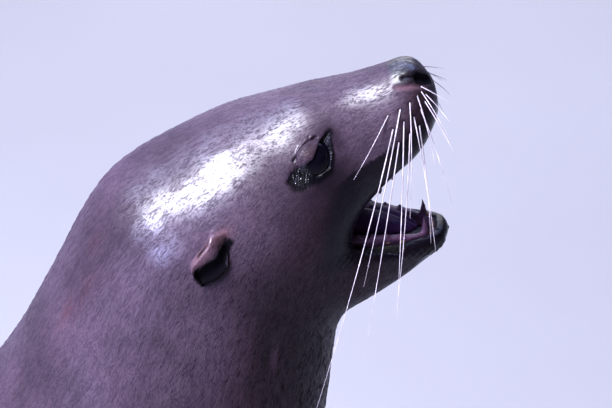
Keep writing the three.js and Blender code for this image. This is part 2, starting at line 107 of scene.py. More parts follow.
# Features of the left side, in millimetres of the head's frame.
EYE_CENTRE = np.array([111.0, 43.0, 8.0])
EYE_RADIUS = 20.0
UPPER_LID = ((89.8, 11.9), (94.8, 14.6), (107.7, 12.7), (116.1, 12.9), (126.4, 19.5), (137.8, 22.8))
LOWER_LID = ((89.8, 11.9), (96.4, 4.0), (110.7, -2.6), (123.7, -3.3), (132.5, 7.9), (137.8, 22.8))
LID_CREASE = ((126.3, 45.0, 24.2), (118.7, 49.0, 25.2), (108.7, 54.0, 22.6), (101.0, 58.1, 20.7))
LID_SLOPE = np.array([[0.96, 0.28], [-0.28, 0.96]])    # along the lids, and across them
LID_FORK = ((118.7, 49.0, 25.2), (121.6, 44.7, 28.2))
NOSTRIL_SLIT = (
    (213.7, 18.7, 20.9), (219.5, 18.2, 18.4), (224.5, 16.5, 15.0), (228.8, 14.4, 9.6), (229.6, 13.0, 2.0))
NOSE_CREASE = ((206.0, 24.6, 18.4), (213.0, 24.0, 14.0), (220.9, 22.2, 9.5), (226.0, 19.0, 3.0))
NOSTRIL_HOLE = ((225.5, 16.5, 12.5), (229.0, 14.5, 8.5), (231.8, 9.5, 4.0))
HOLE_REACH = 6.8
EAR_PIT = ((7.5, 98.5, 13.5), (2.5, 101.5, 10.6), (-5.0, 105.0, 8.4))
PHILTRUM = ((234.0, 0.0, 6.0), (232.0, 0.0, -6.0), (224.0, 0.0, -20.0), (212.0, 0.0, -34.0))
NOSE_TOP = (224.0, 8.0, 24.0)
WHISKER_PAD = (196.0, 38.0, -12.0)
LIP_LINE = ((110.0, 150.0, 190.0, 214.0, 230.0), (-34.0, -27.0, -20.0, -17.0, -12.0))   # ahead, and up
# Soft spots of the head's frame: middle, reach, and stretch along the axes.
WET_WRINKLES = ((101.0, 64.0, 4.0), 8.5, (1.7, 1.8, 0.95))
EYE_CORNER = ((101.0, 64.0, 3.0), 12.0, (1.55, 1.5, 0.85))
EYE_HALO = ((114.0, 58.0, -8.0), 26.0, (1.45, 1.0, 0.85))
EYE_FRONT = ((138.0, 42.0, 14.0), 17.0, (0.6, 1.0, 1.35))
LID_FLUSH = ((113.0, 58.0, 19.0), 7.0, (1.8, 1.6, 0.7))
# Features of the jaw's frame. The throat's fold is given ahead and up only.
CHIN = (172.0, 0.0, -10.0)
THROAT_FOLD = (30.0, -92.0)

# Whiskers of one side: root, its run across and down as seen from that side, and its length.
WHISKERS = (
    ((224.6, 20.9, 3.8), (9.0, 3.0), 26.0), ((221.7, 24.5, 0.9), (9.0, 11.0), 40.0),
    ((223.6, 22.9, -3.6), (9.0, 7.0), 30.0), ((216.8, 27.7, 1.4), (6.0, 15.0), 60.0),
    ((219.9, 27.0, -6.9), (9.0, 12.0), 60.0), ((208.8, 31.5, 1.9), (2.0, 30.0), 95.0),
    ((198.8, 35.3, 2.4), (-9.0, 42.0), 150.0), ((213.7, 31.3, -8.4), (10.0, 21.0), 85.0),
    ((206.1, 35.7, -8.9), (8.0, 34.0), 120.0), ((187.1, 37.4, 4.2), (-17.5, 31.0), 60.0),
    ((197.0, 39.0, -6.9), (-1.0, 38.0), 165.0), ((205.7, 37.3, -18.7), (4.0, 22.0), 100.0),
    ((185.6, 42.0, -7.1), (-8.0, 30.0), 235.0), ((196.0, 41.9, -18.4), (-1.0, 26.0), 150.0),
    ((184.2, 45.3, -19.3), (-3.0, 17.0), 190.0),
)

# Middle line of the fore flipper's hand in metres: x, distance from the middle plane, and its width.
HAND_LINE = np.array([
    (0.354, 0.250, 0.068), (0.348, 0.294, 0.074), (0.322, 0.350, 0.078), (0.276, 0.426, 0.074),
    (0.222, 0.504, 0.060), (0.178, 0.560, 0.039), (0.154, 0.590, 0.018), (0.144, 0.602, 0.012)])

# Where the coat is wettest on both sides, in millimetres of the frame: the middle and reach of each patch.
WET_PATCHES = (
    ((418.0, 52.0, 934.0), 17.0), ((436.0, 53.0, 945.0), 22.0), ((462.0, 57.0, 957.0), 26.0),
    ((489.0, 55.0, 971.0), 27.0), ((515.0, 50.0, 983.0), 27.0), ((541.0, 43.0, 994.0), 22.0),
    ((427.0, 73.0, 921.0), 15.0), ((441.0, 89.0, 905.0), 12.0), ((549.0, 25.0, 1009.0), 10.0),
    ((606.0, 25.0, 1021.0), 11.0), ((620.0, 27.0, 1022.0), 12.0), ((632.0, 26.0, 1024.0), 10.0),
)

# Old bites on the right of the neck: place, and size.
SCARS = (((-99.3, -52.0, 39.3), 4.5), ((-119.2, -69.1, 16.2), 4.0), ((-146.8, -65.3, 3.6), 5.0))


# ---- settings

class SkinSettings(bpy.types.PropertyGroup):
    voxel: FloatProperty(
        name="Voxel", description="Grain of the mesh that joins the flesh", default=0.003,
        min=0.002, max=0.01, unit="LENGTH")
    softness: FloatProperty(
        name="Softness", description="Smoothing as a share of the local thickness", default=0.125,
        min=0.0, max=0.3)
    body_share: FloatProperty(
        name="Body detail", description="Share of the mesh that is kept away from the head",
        default=0.20, min=0.05, max=1.0)
    most_triangles: IntProperty(
        name="Most triangles", description="Largest triangle count of the skin before the ears join it",
        default=182000, min=20000)
    sunk: FloatProperty(
        name="Depth", description="How far the skin lies under the coat's surface", default=0.0008,
        min=0.0, max=0.004, unit="LENGTH")
    fur_colour: FloatVectorProperty(
        name="Fur", description="Colour of the wet coat", subtype="COLOR",
        default=(0.060, 0.038, 0.055), min=0.0, max=1.0)
    bare_colour: FloatVectorProperty(
        name="Bare skin", description="Colour of the lips, nose, eye rims and flippers", subtype="COLOR",
        default=(0.0066, 0.0038, 0.0066), min=0.0, max=1.0)


class CoatSettings(bpy.types.PropertyGroup):
    count: IntProperty(name="Tufts", description="How many clumps of fur are laid", default=42000, min=1)
    length: FloatProperty(
        name="Length", description="Length of a clump on the body", default=0.0068, min=0.001, unit="LENGTH")
    width: FloatProperty(
        name="Width", description="Width of a clump on the body", default=0.0008, min=0.0002, unit="LENGTH")
    lift: FloatProperty(
        name="Lift", description="How far a clump stands off the skin", default=0.00035, min=0.0,
        unit="LENGTH")
    seed: IntProperty(name="Seed", description="Start of the tufts' random draws", default=5, min=0)


class FaceSettings(bpy.types.PropertyGroup):
    whisker_girth: FloatProperty(
        name="Whisker girth", description="Thickness of a whisker at its root", default=0.0013,
        min=0.0005, max=0.004, unit="LENGTH")
    whisker_seed: IntProperty(
        name="Whisker seed", description="Start of the whiskers' random draws", default=11, min=0)


class StageSettings(bpy.types.PropertyGroup):
    key_power: FloatProperty(
        name="Key light", description="Power of the softbox over the animal", default=205.0,
        min=0.0, unit="POWER")
    fill: FloatProperty(
        name="Fill", description="Strength of the light from all round", default=0.085, min=0.0)


# ---- mesh helpers

def placed(name, data):
    """A new object of the scene that holds a mesh, a light or a camera."""
    item = bpy.data.objects.new(name, data)
    bpy.context.scene.collection.objects.link(item)
    return item


def object_from(name, points, faces):
    mesh = bpy.data.meshes.new(name)
    mesh.from_pydata([tuple(p) for p in points], [], [tuple(f) for f in faces])
    mesh.update()
    return placed(name, mesh)


def mesh_from(name, shape):
    """What was built in a bmesh, as a mesh."""
    mesh = bpy.data.meshes.new(name)
    shape.to_mesh(mesh)
    shape.free()
    return mesh


def tube_faces(base, rings, sides, outward=True):
    """The faces of a closed tube, whose rings of corners follow one another from the first number on."""
    faces = []
    for low in range(base, base + (rings - 1) * sides, sides):
        for k in range(sides):
            n = (k + 1) % sides
            faces.append((low + k, low + n, low + sides + n, low + sides + k))
    faces.append(tuple(range(base, base + sides))[::-1])
    faces.append(tuple(range(base + (rings - 1) * sides, base + rings * sides)))
    return faces if outward else [face[::-1] for face in faces]


def read(items, key, width=1, kind=np.float32):
    """One property of every item, as an array with a row for each."""
    values = np.empty(len(items) * width, kind)
    items.foreach_get(key, values)
    return values.reshape(-1, width) if width > 1 else values


def points_of(mesh):
    return read(mesh.vertices, "co", 3).astype(float)


def normals_of(mesh):
    return read(mesh.vertex_normals, "vector", 3).astype(float)


def edges_of(mesh):
    return read(mesh.edges, "vertices", 2, np.int32)


def put_points(mesh, points):
    mesh.vertices.foreach_set("co", points.astype(np.float32).ravel())
    mesh.update()


def finish_smooth(piece):
    piece.data.polygons.foreach_set("use_smooth", np.ones(len(piece.data.polygons), bool))
    piece.data.update()


def clothed(piece, *materials):
    """The piece with these materials alone."""
    piece.data.materials.clear()
    for material in materials:
        piece.data.materials.append(material)


def applied(piece):
    """The piece with its modifiers made real."""
    graph = bpy.context.evaluated_depsgraph_get()
    made = bpy.data.meshes.new_from_object(piece.evaluated_get(graph))
    old = piece.data
    piece.modifiers.clear()
    piece.data = made
    bpy.data.meshes.remove(old)
    return piece


def joined(piece, voxel):
    """Makes one even mesh of this grain from all the solids of a piece."""
    remesh = piece.modifiers.new("join", "REMESH")
    remesh.mode, remesh.voxel_size = "VOXEL", voxel
    return applied(piece)


def relaxed(values, edges, strength, rounds):
    """Values at the corners of a mesh, drawn towards the mean of their neighbours."""
    count = len(values)
    flat = values.reshape(count, -1)
    a, b = edges[:, 0], edges[:, 1]
    degree = np.maximum(np.bincount(edges.ravel(), minlength=count), 1)[:, None]
    share = np.broadcast_to(np.asarray(strength, float).reshape(-1, 1), (count, 1))
    for _ in range(rounds):
        total = np.stack([
            np.bincount(a, flat[b, k], count) + np.bincount(b, flat[a, k], count)
            for k in range(flat.shape[1])
        ], 1)
        flat = flat + share * (total / degree - flat)
    return flat.reshape(values.shape)


def distance_to_path(points, path):
    """Distance of each point from a chain of straight lengths, and how far along it the nearest place is."""
    path = np.asarray(path, float)
    best = np.full(len(points), np.inf)
    along = np.zeros(len(points))
    for i, (a, b) in enumerate(zip(path[:-1], path[1:])):
        line = b - a
        t = np.clip((points - a) @ line / (line @ line), 0.0, 1.0)
        gap = np.linalg.norm(points - (a + t[:, None] * line), axis=1)
        closer = gap < best
        best[closer] = gap[closer]
        along[closer] = (i + t[closer]) / (len(path) - 1)
    return best, along


def bell(distance, reach):
    return np.exp(-(distance / reach) ** 2)


def near(points, middle, reach, stretch=1.0):
    """A soft round spot: 1 at its middle, falling off with distance, and drawn out along the axes."""
    return bell(np.linalg.norm((points - middle) / stretch, axis=1), reach)


def near_path(points, path, reach):
    return bell(distance_to_path(points, path)[0], reach)


def most(*masks):
    """The largest of several masks at each place."""
    return np.max(masks, axis=0)


def step(value, low, high):
    t = np.clip((value - low) / (high - low), 0.0, 1.0)
    return t * t * (3.0 - 2.0 * t)


# ---- skin

def joined_flesh():
    """The flesh nodes in one mesh, each grown slightly so that the thin cuts between them close.
    The eyeballs fill their sockets here, so that the lids can be drawn over them."""
    joined = bmesh.new()
    for node in (*FLESH, "eye_left", "eye_right"):
        part = bmesh.new()
        part.from_mesh(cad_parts[node].data)
        bmesh.ops.remove_doubles(part, verts=part.verts, dist=1e-6)
        part.normal_update()
        for vert in part.verts:
            vert.co += vert.normal * GROWTH
        mesh = mesh_from("part", part)
        joined.from_mesh(mesh)
        bpy.data.meshes.remove(mesh)
    return mesh_from("skin", joined)


def thickness_of(points, normals, mesh):
    """How thick the flesh is under each corner."""
    tree = BVHTree.FromPolygons(
        [tuple(p) for p in points], [tuple(p.vertices) for p in mesh.polygons], epsilon=0.0)
    depth = np.empty(len(points))
    for i, (p, n) in enumerate(zip(points, normals)):
        inward = Vector(-n)
        hit = tree.ray_cast(Vector(p) + inward * 0.0008, inward, 0.5)
        depth[i] = hit[3] if hit[0] is not None else 0.5
    return depth


def soften_skin(mesh, settings):
    """Rubs out the flat facets of the solids, gives back the bulk that this takes, and draws the skin in
    by the depth of the coat. Thin parts are softened less than thick ones."""
    points, edges = points_of(mesh), edges_of(mesh)
    depth = thickness_of(points, normals_of(mesh), mesh)
    depth = relaxed(np.minimum(depth, 0.25), edges, 1.0, 12)
    rounds = 110
    spread = np.clip(depth * settings.softness, 0.0012, 0.021)
    strength = np.minimum(2.0 * spread ** 2 / (rounds * settings.voxel ** 2), 0.97)
    strength = relaxed(strength, edges, 1.0, 6)
    smooth = relaxed(points, edges, strength, rounds)
    put_points(mesh, smooth + relaxed(points - smooth, edges, strength, rounds))
    points = points_of(mesh)
    sunk = settings.sunk * step(points[:, 2], 0.0, 0.010)
    put_points(mesh, points - normals_of(mesh) * sunk[:, None])


def thin_out(skin, settings):
    """Fewer, larger faces away from the head."""
    at = points_of(skin.data)
    ahead = HEAD.into(at)[:, 0]
    away = 1.0 - np.maximum(step(ahead, -110.0, 10.0), 0.6 * step(np.abs(at[:, 1]), 0.27, 0.30))
    group = skin.vertex_groups.new(name="thin_out")
    for level in (0.25, 0.5, 0.75, 1.0):
        chosen = np.nonzero((away > level - 0.25) & (away <= level))[0]
        group.add(chosen.tolist(), level, "REPLACE")
    reduce = skin.modifiers.new("reduce", "DECIMATE")
    reduce.ratio = settings.body_share
    reduce.vertex_group = group.name
    applied(skin)
    skin.vertex_groups.clear()


def keep_under(skin, limit):
    """Joins the flattest faces until at most this many triangles are left."""
    skin.data.calc_loop_triangles()
    reduce = skin.modifiers.new("reduce", "DECIMATE")
    reduce.ratio = min(1.0, limit / len(skin.data.loop_triangles))
    applied(skin)


def refine(skin, chooses):
    """Splits the edges of the faces that a test of their corners picks."""
    mesh = bmesh.new()
    mesh.from_mesh(skin.data)
    mesh.verts.ensure_lookup_table()
    picked = chooses(np.array([v.co for v in mesh.verts]))
    edges = [e for e in mesh.edges if picked[e.verts[0].index] and picked[e.verts[1].index]]
    bmesh.ops.subdivide_edges(mesh, edges=edges, cuts=1, use_grid_fill=True)
    bmesh.ops.triangulate(mesh, faces=[f for f in mesh.faces if len(f.verts) > 4])
    mesh.to_mesh(skin.data)
    mesh.free()


def mirror_left(local):
    """The points of both sides laid over the left side."""
    folded = local.copy()
    folded[:, 1] = np.abs(folded[:, 1])
    return folded


def near_details(points):
    """Corners round the eyes and on the nose and lips."""
    local = mirror_left(HEAD.into(points))
    eye = np.linalg.norm(local - (EYE_CENTRE + (2.0, 12.0, 0.0)), axis=1) < 36.0
    jaw = JAW.into(points)
    lips = (jaw[:, 0] > 60.0) & (jaw[:, 2] > -22.0) & (jaw[:, 2] < 8.0) & (local[:, 0] > 20.0)
    return eye | (local[:, 0] > 186.0) | lips


def near_fine_details(points):
    local = mirror_left(HEAD.into(points))
    eye = np.linalg.norm(local - (EYE_CENTRE + (2.0, 14.0, 2.0)), axis=1) < 29.0
    return eye | (local[:, 0] > 206.0)


def fill_nostrils(skin):
    """Draws a smooth nose over the pits of the solid, so that finer nostrils can be cut into it."""
    points = points_of(skin.data)
    gap, _ = distance_to_path(mirror_left(HEAD.into(points)), NOSTRIL_SLIT)
    share = 0.98 * (1.0 - step(gap, 13.0, 24.0))
    smooth = relaxed(points, edges_of(skin.data), share, 260)
    put_points(skin.data, smooth)
    outward = normals_of(skin.data)
    rise = np.maximum(((smooth - points) * outward).sum(1), 0.0)
    put_points(skin.data, points + outward * rise[:, None])
    put_points(skin.data, relaxed(points_of(skin.data), edges_of(skin.data), 0.5 * share, 6))


def within_lids(local, back, front):
    """How far a point is below the upper lid, above the lower lid, and inside two ends of the opening."""
    x, z = local[:, 0], local[:, 2]
    below = np.interp(x, *zip(*UPPER_LID)) - z
    above = z - np.interp(x, *zip(*LOWER_LID))
    return below, above, np.minimum(x - back, front - x)


def lid_shade(local):
    """The wet black skin in and round the opening between the lids, from 0 to 1."""
    below, above, ends = within_lids(local, 85.0, 143.0)
    at_eye = np.linalg.norm(local - EYE_CENTRE, axis=1) < 48.0
    return step(below, -1.6, 0.4) * step(above, -8.0, -2.5) * step(ends, 0.0, 5.0) * at_eye


def eye_opening(local):
    """How far inside the opening between the lids a point is, in millimetres. Below 0 is outside."""
    below, above, ends = within_lids(local, UPPER_LID[0][0], UPPER_LID[-1][0])
    return np.minimum(np.minimum(below, above) * 0.9, ends)


def wrinkled(place, seed=4):
    """Uneven fine ridges that run along the lids, mostly from -1 to 1."""
    draw = np.random.default_rng(seed)
    total = np.zeros(len(place))
    for _ in range(9):
        turn = draw.normal(0.25, 0.55)
        run = place @ np.array([math.sin(turn), math.cos(turn)]) * 2.0 * math.pi / draw.uniform(2.0, 4.6)
        bend = 0.9 * np.sin(place @ draw.normal(0.0, 0.45, 2) + draw.uniform(0.0, 6.3))
        total += np.sin(run + bend + draw.uniform(0.0, 6.3))
    return 1.0 - 0.75 * np.abs(total)


def sculpt_eyes(local):
    """Sinks the front of the opening behind the eyeball and lays the lids over the rest of it."""
    folded = mirror_left(local)
    from_eye = folded - EYE_CENTRE
    reach = np.linalg.norm(from_eye, axis=1)
    outward = from_eye / np.maximum(reach, 1e-6)[:, None]
    at_eye = (reach < 46.0) & (folded[:, 1] > 30.0)
    inside = eye_opening(folded)
    socket, lid = 15.0, EYE_RADIUS + 1.3
    place = folded[:, [0, 2]]
    above = step(place[:, 1] - np.interp(place[:, 0], *zip(*UPPER_LID)), -3.0, 2.0)
    rim = 0.25 * above * bell(inside + 2.2, 2.2)
    bulge = 0.1 * near((place - (113.0, 18.0)) @ LID_SLOPE.T, 0.0, 5.6, (2.6, 0.62))
    corner = near(place, (100.5, 5.5), 9.5, (1.55, 1.0))
    folds = 0.7 * corner * wrinkled(place)
    covered = np.maximum(reach, lid) + rim + bulge + folds - 1.2 * corner
    share = step(inside, -0.4, 0.9) * step(folded[:, 0], 108.0, 114.0)
    target = covered * (1.0 - share) + np.minimum(reach, socket) * share
    fade = 1.0 - step(reach, 31.0, 45.0)
    moved = outward * ((target - reach) * fade * at_eye)[:, None]
    moved[:, 1] *= np.sign(local[:, 1])
    return moved


def sculpt_body(points, normals):
    """Finger bones under the skin of the fore flippers, and shallow folds where the neck meets the trunk."""
    width = np.abs(points[:, 1])
    flat = np.stack([points[:, 0], width], 1)
    reach = np.interp(width, HAND_LINE[:, 1], HAND_LINE[:, 0])
    slope = np.interp(width, HAND_LINE[:, 1], np.gradient(HAND_LINE[:, 0], HAND_LINE[:, 1]))
    aside = (flat[:, 0] - reach) / np.sqrt(1.0 + slope ** 2)
    wide = np.interp(width, HAND_LINE[:, 1], HAND_LINE[:, 2])
    on_hand = step(width, 0.285, 0.34) * step(normals[:, 2], 0.3, 0.7)
    on_hand = on_hand * (points[:, 0] > 0.05) * (points[:, 2] < 0.06)
    bones, widest = 4.0, 0.074
    lift = 1.1 * on_hand * np.cos(2.0 * math.pi * bones * np.clip(aside / wide, -0.5, 0.5)) * (wide / widest)
    along = straightened(points)[0][:, 0]
    sway = 0.012 * np.sin(np.arctan2(points[:, 1], points[:, 2] - 0.5) * 3.0)
    for place, depth in ((0.50, 1.0), (0.555, 1.5), (0.615, 1.7), (0.68, 1.2)):
        gap = (along + sway - place) / MM
        lift -= (depth * bell(gap, 7.0) - 0.6 * depth * bell(gap - 16.0, 11.0)) * (points[:, 2] > 0.25)
    return normals * (lift * MM)[:, None]


def sculpt_face(points, normals):
    """Folds of the lids, nostrils, nose, whisker pads, lips and throat."""
    local = HEAD.into(points)
    folded = mirror_left(local)
    lift = np.zeros(len(points))
    for path, reach, depth in (
        (LID_CREASE, 1.2, 1.7),
        (LID_FORK, 0.8, 0.5),
        (NOSE_CREASE, 2.0, 0.9),
        (PHILTRUM, 2.4, 1.6),
    ):
        gap, _ = distance_to_path(folded, path)
        lift -= depth * bell(gap, reach) - 0.15 * depth * bell(gap - 2.2 * reach, reach)
    gap, along = distance_to_path(folded, NOSTRIL_SLIT)
    lift -= (0.9 + 0.8 * step(along, 0.3, 0.75)) * bell(gap, 1.3)
    hole, _ = distance_to_path(folded, NOSTRIL_HOLE)
    lift += 0.4 * bell(gap - 4.5, 3.0) * (1.0 - step(hole, 8.0, 4.0)) - 5.0 * bell(hole, 4.0)
    lift += 2.4 * near(folded, NOSE_TOP, 14.0)
    for root, _, _ in WHISKERS:
        lift -= 0.9 * near(folded, root, 1.7)
    lift -= 2.5 * near_path(folded, EAR_PIT, 2.6)
    lift += 1.6 * near(folded, WHISKER_PAD, 20.0, (1.5, 1.0, 1.0))
    jaw = JAW.into(points)
    lift += 2.4 * near(jaw, CHIN, 15.0, (0.9, 1.6, 1.0))
    lip = bell(jaw[:, 2] + 12.0, 7.0) * step(jaw[:, 0], 70.0, 95.0) * (np.abs(jaw[:, 1]) > 12.0)
    lift += 1.3 * lip * (1.0 + 0.5 * np.sin(jaw[:, 0] * 0.9) * np.sin(jaw[:, 2] * 0.8))
    lift -= 2.6 * near(jaw[:, [0, 2]], THROAT_FOLD, 12.0, (0.5, 1.4))
    return HEAD.turned(sculpt_eyes(local)) * MM + normals * (lift * MM)[:, None]


def straightened(points):
    """Places along the body from nose to tail, across it and up from its middle line, and its direction."""
    lengths = np.linalg.norm(np.diff(MIDDLE_LINE, axis=0), axis=1)
    start = np.concatenate([[0.0], np.cumsum(lengths)])
    weight, along, rise = np.zeros((3, len(points)))
    lie = np.zeros((len(points), 3))
    for a, b, at, size in zip(MIDDLE_LINE[:-1], MIDDLE_LINE[1:], start, lengths):
        way = (b - a) / size
        up = np.array([way[2], 0.0, -way[0]])
        run = np.clip((points - a) @ way, 0.0, size)
        gap = np.linalg.norm(points - (a + run[:, None] * way), axis=1)
        pull = np.exp(-gap / 0.03)
        free = (points - a) @ way
        weight += pull
        along += pull * (at + np.clip(free, -0.1, size + 0.1))
        rise += pull * ((points - a) @ up)
        lie += pull[:, None] * way
    weight = np.maximum(weight, 1e-30)
    return np.stack([along / weight, points[:, 1], rise / weight], 1), lie / weight[:, None]


def ear_hollow(local):
    """How much of the ear leaf's underside and of the skin in its shadow a point is on, where the ear's shade
    and cast shadow are painted black.
    """
    ridge, hang, apron = (smooth_path(path, 30) for path in (EAR_RIDGE, EAR_HANG, EAR_APRON))
    off = np.abs(local[:, None, :] - ridge[None, :, :])
    gap = off[:, :, 0] + 0.001 * off[:, :, 2]
    place = gap.argmin(1)
    below = ridge[place, 2] - local[:, 2] - apron[place, 0]
    share = step(below, 1.2, 3.4) * (1.0 - step(below - (hang - apron)[place, 0], 0.5, 2.5))
    on_side = (local[:, 1] > 88.0) & (local[:, 0] > -22.0)
    return share * on_side * step(-local[:, 0], -26.0, -22.0)


def skin_masks(points, normals):
    """Where the skin is bare, flushed pink, scarred, black or wet, and where shade is painted on it, each
    from 0 to 1.
    """
    head = HEAD.into(points)
    local = mirror_left(head)
    jaw = JAW.into(points)
    width = np.abs(points[:, 1])
    opening = eye_opening(local)
    rims = step(opening, -4.5, -0.5) * near(local, EYE_CENTRE + (0.0, 18.0, -4.0), 26.0)
    lids = lid_shade(local)
    wrinkles = near(local, *WET_WRINKLES)
    corner = step(near(local, *EYE_CORNER), 0.25, 0.7)
    halo = 0.9 * near(local, *EYE_HALO)
    front = 0.8 * near(local, *EYE_FRONT)
    nostril, _ = distance_to_path(local, NOSTRIL_SLIT)
    over_nose_line = local[:, 2] - (17.0 - 0.6 * (local[:, 0] - 208.0))
    nose = step(over_nose_line, -2.0, 3.0) * step(local[:, 0], 200.0, 209.0)
    nose = most(nose, bell(nostril, 3.4))
    lip_line = np.interp(local[:, 0], *LIP_LINE)
    lip_edge = step(lip_line - local[:, 2], -8.0, 14.0) * step(local[:, 0], 100.0, 150.0) * (jaw[:, 2] > 22.0)
    low_lip = step(jaw[:, 2], -24.0, -11.0) * step(jaw[:, 0], 58.0, 80.0) * (local[:, 2] < -20.0)
    front_lip = step(jaw[:, 0], 150.0, 166.0) * (jaw[:, 2] < 20.0)
    hand = step(width, 0.235, 0.300) * step(-points[:, 2], -0.10, -0.05) * (points[:, 0] > 0.05)
    foot = step(width, 0.150, 0.185) * step(-points[:, 2], -0.085, -0.06) * (points[:, 0] < -0.05)
    # The ear's underside and its cast shadow on the head, painted black as shade.
    ear = ear_hollow(local)
    # Painted shade: darker fur on the front and lower side of the muzzle.
    painted_snout_shade = 0.9 * step(local[:, 0] - 0.9 * local[:, 2], 186.0, 220.0) * (jaw[:, 2] > 10.0)
    # Painted shade: darker fur where the neck, cheeks and throat face forward and down, away from the key
    # light.
    ahead = 0.85 * normals[:, 0] - 0.5 * normals[:, 2]
    under = 0.9 * step(ahead, -0.08, 0.34) * step(points[:, 2], 0.35, 0.62) * (local[:, 0] < 190.0)
    eyelid = near((local[:, [0, 2]] - (115.5, 21.5)) @ LID_SLOPE.T, 0.0, 7.0, (2.5, 1.0))
    bare = most(0.2 * eyelid, rims, corner, halo, front, nose, lip_edge, low_lip, front_lip, hand, foot, ear)
    crest, along = distance_to_path(local, EAR_RIDGE)
    pit, _ = distance_to_path(local, EAR_PIT)
    flushed = near_path(local, NOSE_CREASE, 2.8)
    pink = most(
        0.38 * bell(crest, 4.2) * (1.0 - step(along, 0.6, 0.9)), 0.8 * bell(pit, 5.0), 0.4 * flushed,
        0.05 * near(local, *LID_FLUSH))
    bare = bare * (1.0 - 0.75 * flushed)
    roots = most(*(near(local, root, 1.9) for root, _, _ in WHISKERS))
    inner = (np.abs(jaw[:, 1]) < 44.0) & (jaw[:, 2] > -30.0) & (local[:, 2] < -45.0) & (jaw[:, 0] < 140.0)
    hole = near_path(local, NOSTRIL_HOLE, HOLE_REACH)
    # Black: the wet skin in the eye's opening and its corner, the lips and the dark dots at the whisker
    # roots, and painted shade in the ear's underside and its cast shadow, the lid crease, the pit behind the
    # ear, the inside of the mouth and the nostrils.
    black_and_painted_shade = most(
        ear, lids, 0.9 * step(wrinkles, 0.25, 0.6), 0.85 * near_path(local, LID_CREASE, 1.0), bell(pit, 2.4),
        0.8 * roots, 0.8 * inner * step(-jaw[:, 0], -150.0, -90.0), 0.9 * bell(nostril, 1.3), hole,
        0.75 * front_lip, 0.6 * low_lip)
    # Darker reddish fur: painted shade on the neck, cheeks and muzzle, and darker lids.
    painted_shade_and_dark_lids = most(under, painted_snout_shade, 0.85 * eyelid) * (1.0 - flushed)
    folded = mirror_left(points / MM)
    patches = most(*(near(folded, place, reach * 1.15) for place, reach in WET_PATCHES))
    wet = most(np.full(len(points), 0.06), patches, 0.9 * nose, 0.08 * lids, wrinkles, 0.08 * low_lip,
               0.9 * near(local, (10.0, 101.0, 12.0), 6.5))
    wet = wet * (1.0 - 0.3 * step(local[:, 0], 120.0, 160.0)) * (1.0 - most(hole, bell(nostril, 2.2)))
    wet = wet * (1.0 - ear) * (1.0 - eyelid * (1.0 - wrinkles))
    scar = most(*(near(head, place, size, (2.0, 1.0, 0.7)) for place, size in SCARS))
    # The black skin and the places of painted shade take the bare skin's finish.
    bare = np.clip(most(bare, black_and_painted_shade), 0.0, 1.0)
    return {"bare": bare, "painted_shade_and_dark_lids": painted_shade_and_dark_lids, "pink": pink, "scar": scar, "black_and_painted_shade": black_and_painted_shade, "wet": wet}


def paint_shade_in_hollows(skin):
    """Gives the undersides of the ears, the pits behind them and the nostrils their own dull black: painted
    shade and shadow in these hollows.
    """
    mesh = skin.data
    local = mirror_left(HEAD.into(points_of(mesh)))
    hollow = most(
        ear_hollow(local), near_path(local, EAR_PIT, 1.8), near_path(local, NOSTRIL_HOLE, HOLE_REACH))
    corners = read(mesh.loops, "vertex_index", kind=np.int32)
    lowest = np.minimum.reduceat(hollow[corners], read(mesh.polygons, "loop_start", kind=np.int32))
    mesh.polygons.foreach_set("material_index", (lowest > 0.45).astype(np.int32))


def put_attribute(mesh, name, values):
    kind = "FLOAT_VECTOR" if values.ndim == 2 else "FLOAT"
    attribute = mesh.attributes.new(name, kind, "POINT")
    key = "vector" if values.ndim == 2 else "value"
    attribute.data.foreach_set(key, values.astype(np.float32).ravel())


def unwrap(piece):
    """The map for the finish, laid out from the skin's own shape."""
    piece.data.uv_layers.new(name="OFBake")
    bpy.ops.object.select_all(action="DESELECT")
    piece.select_set(True)
    bpy.context.view_layer.objects.active = piece
    bpy.ops.object.mode_set(mode="EDIT")
    bpy.ops.mesh.select_all(action="SELECT")
    bpy.ops.uv.smart_project(angle_limit=math.radians(66.0), island_margin=0.001)
    bpy.ops.object.mode_set(mode="OBJECT")


# ---- ears

# The crest of the ear's fold from its root to its hooked tip, and how far the leaf hangs below it.
EAR_RIDGE = (
    (28.0, 85.0, 4.5), (18.0, 92.5, 9.0), (11.9, 99.0, 11.4), (6.0, 102.6, 7.0), (-1.0, 105.0, 5.1),
    (-7.5, 106.8, 3.2), (-13.5, 107.8, 1.7), (-17.2, 108.6, -2.3), (-18.8, 108.4, -9.0),
    (-18.4, 107.5, -20.0),
)
EAR_HANG = (3.0, 15.0, 21.5, 25.0, 25.5, 24.5, 21.5, 16.5, 9.0, 1.5)
# How far down its outer face runs before it turns in over the hollow, at the same places.
EAR_APRON = (0.5, 6.0, 9.0, 8.0, 5.0, 2.5, 1.0, 0.0, 0.0, 0.0)
# The leaf's section: how far out from the crest line, and how far down. Above 0 the second number is a
# share of the hang, and below 0 it is millimetres.
EAR_SECTION = (
    (-10.0, -4.0), (-5.5, -4.6), (-2.4, -4.0), (0.6, -2.5), (2.0, -0.6), (1.7, 0.06), (0.2, 0.13),
    (-2.6, 0.19), (-5.0, 0.30), (-6.0, 0.50), (-5.6, 0.70), (-4.4, 0.88), (-4.6, 0.97), (-7.0, 1.01),
    (-12.0, 1.0),
)


def smooth_path(path, count):
    """More points along a chain, on a curve through its corners."""
    path = np.asarray(path, float)
    if path.ndim == 1:
        path = path[:, None]
    last = len(path) - 1
    out = []
    for t in np.linspace(0.0, last, count):
        i = min(int(t), last - 1)
        f = t - i
        p0, p1, p2, p3 = (path[min(max(i + k, 0), last)] for k in (-1, 0, 1, 2))
        out.append(0.5 * (2 * p1 + (p2 - p0) * f + (2 * p0 - 5 * p1 + 4 * p2 - p3) * f ** 2
                          + (3 * p1 - p0 - 3 * p2 + p3) * f ** 3))
    return np.array(out)


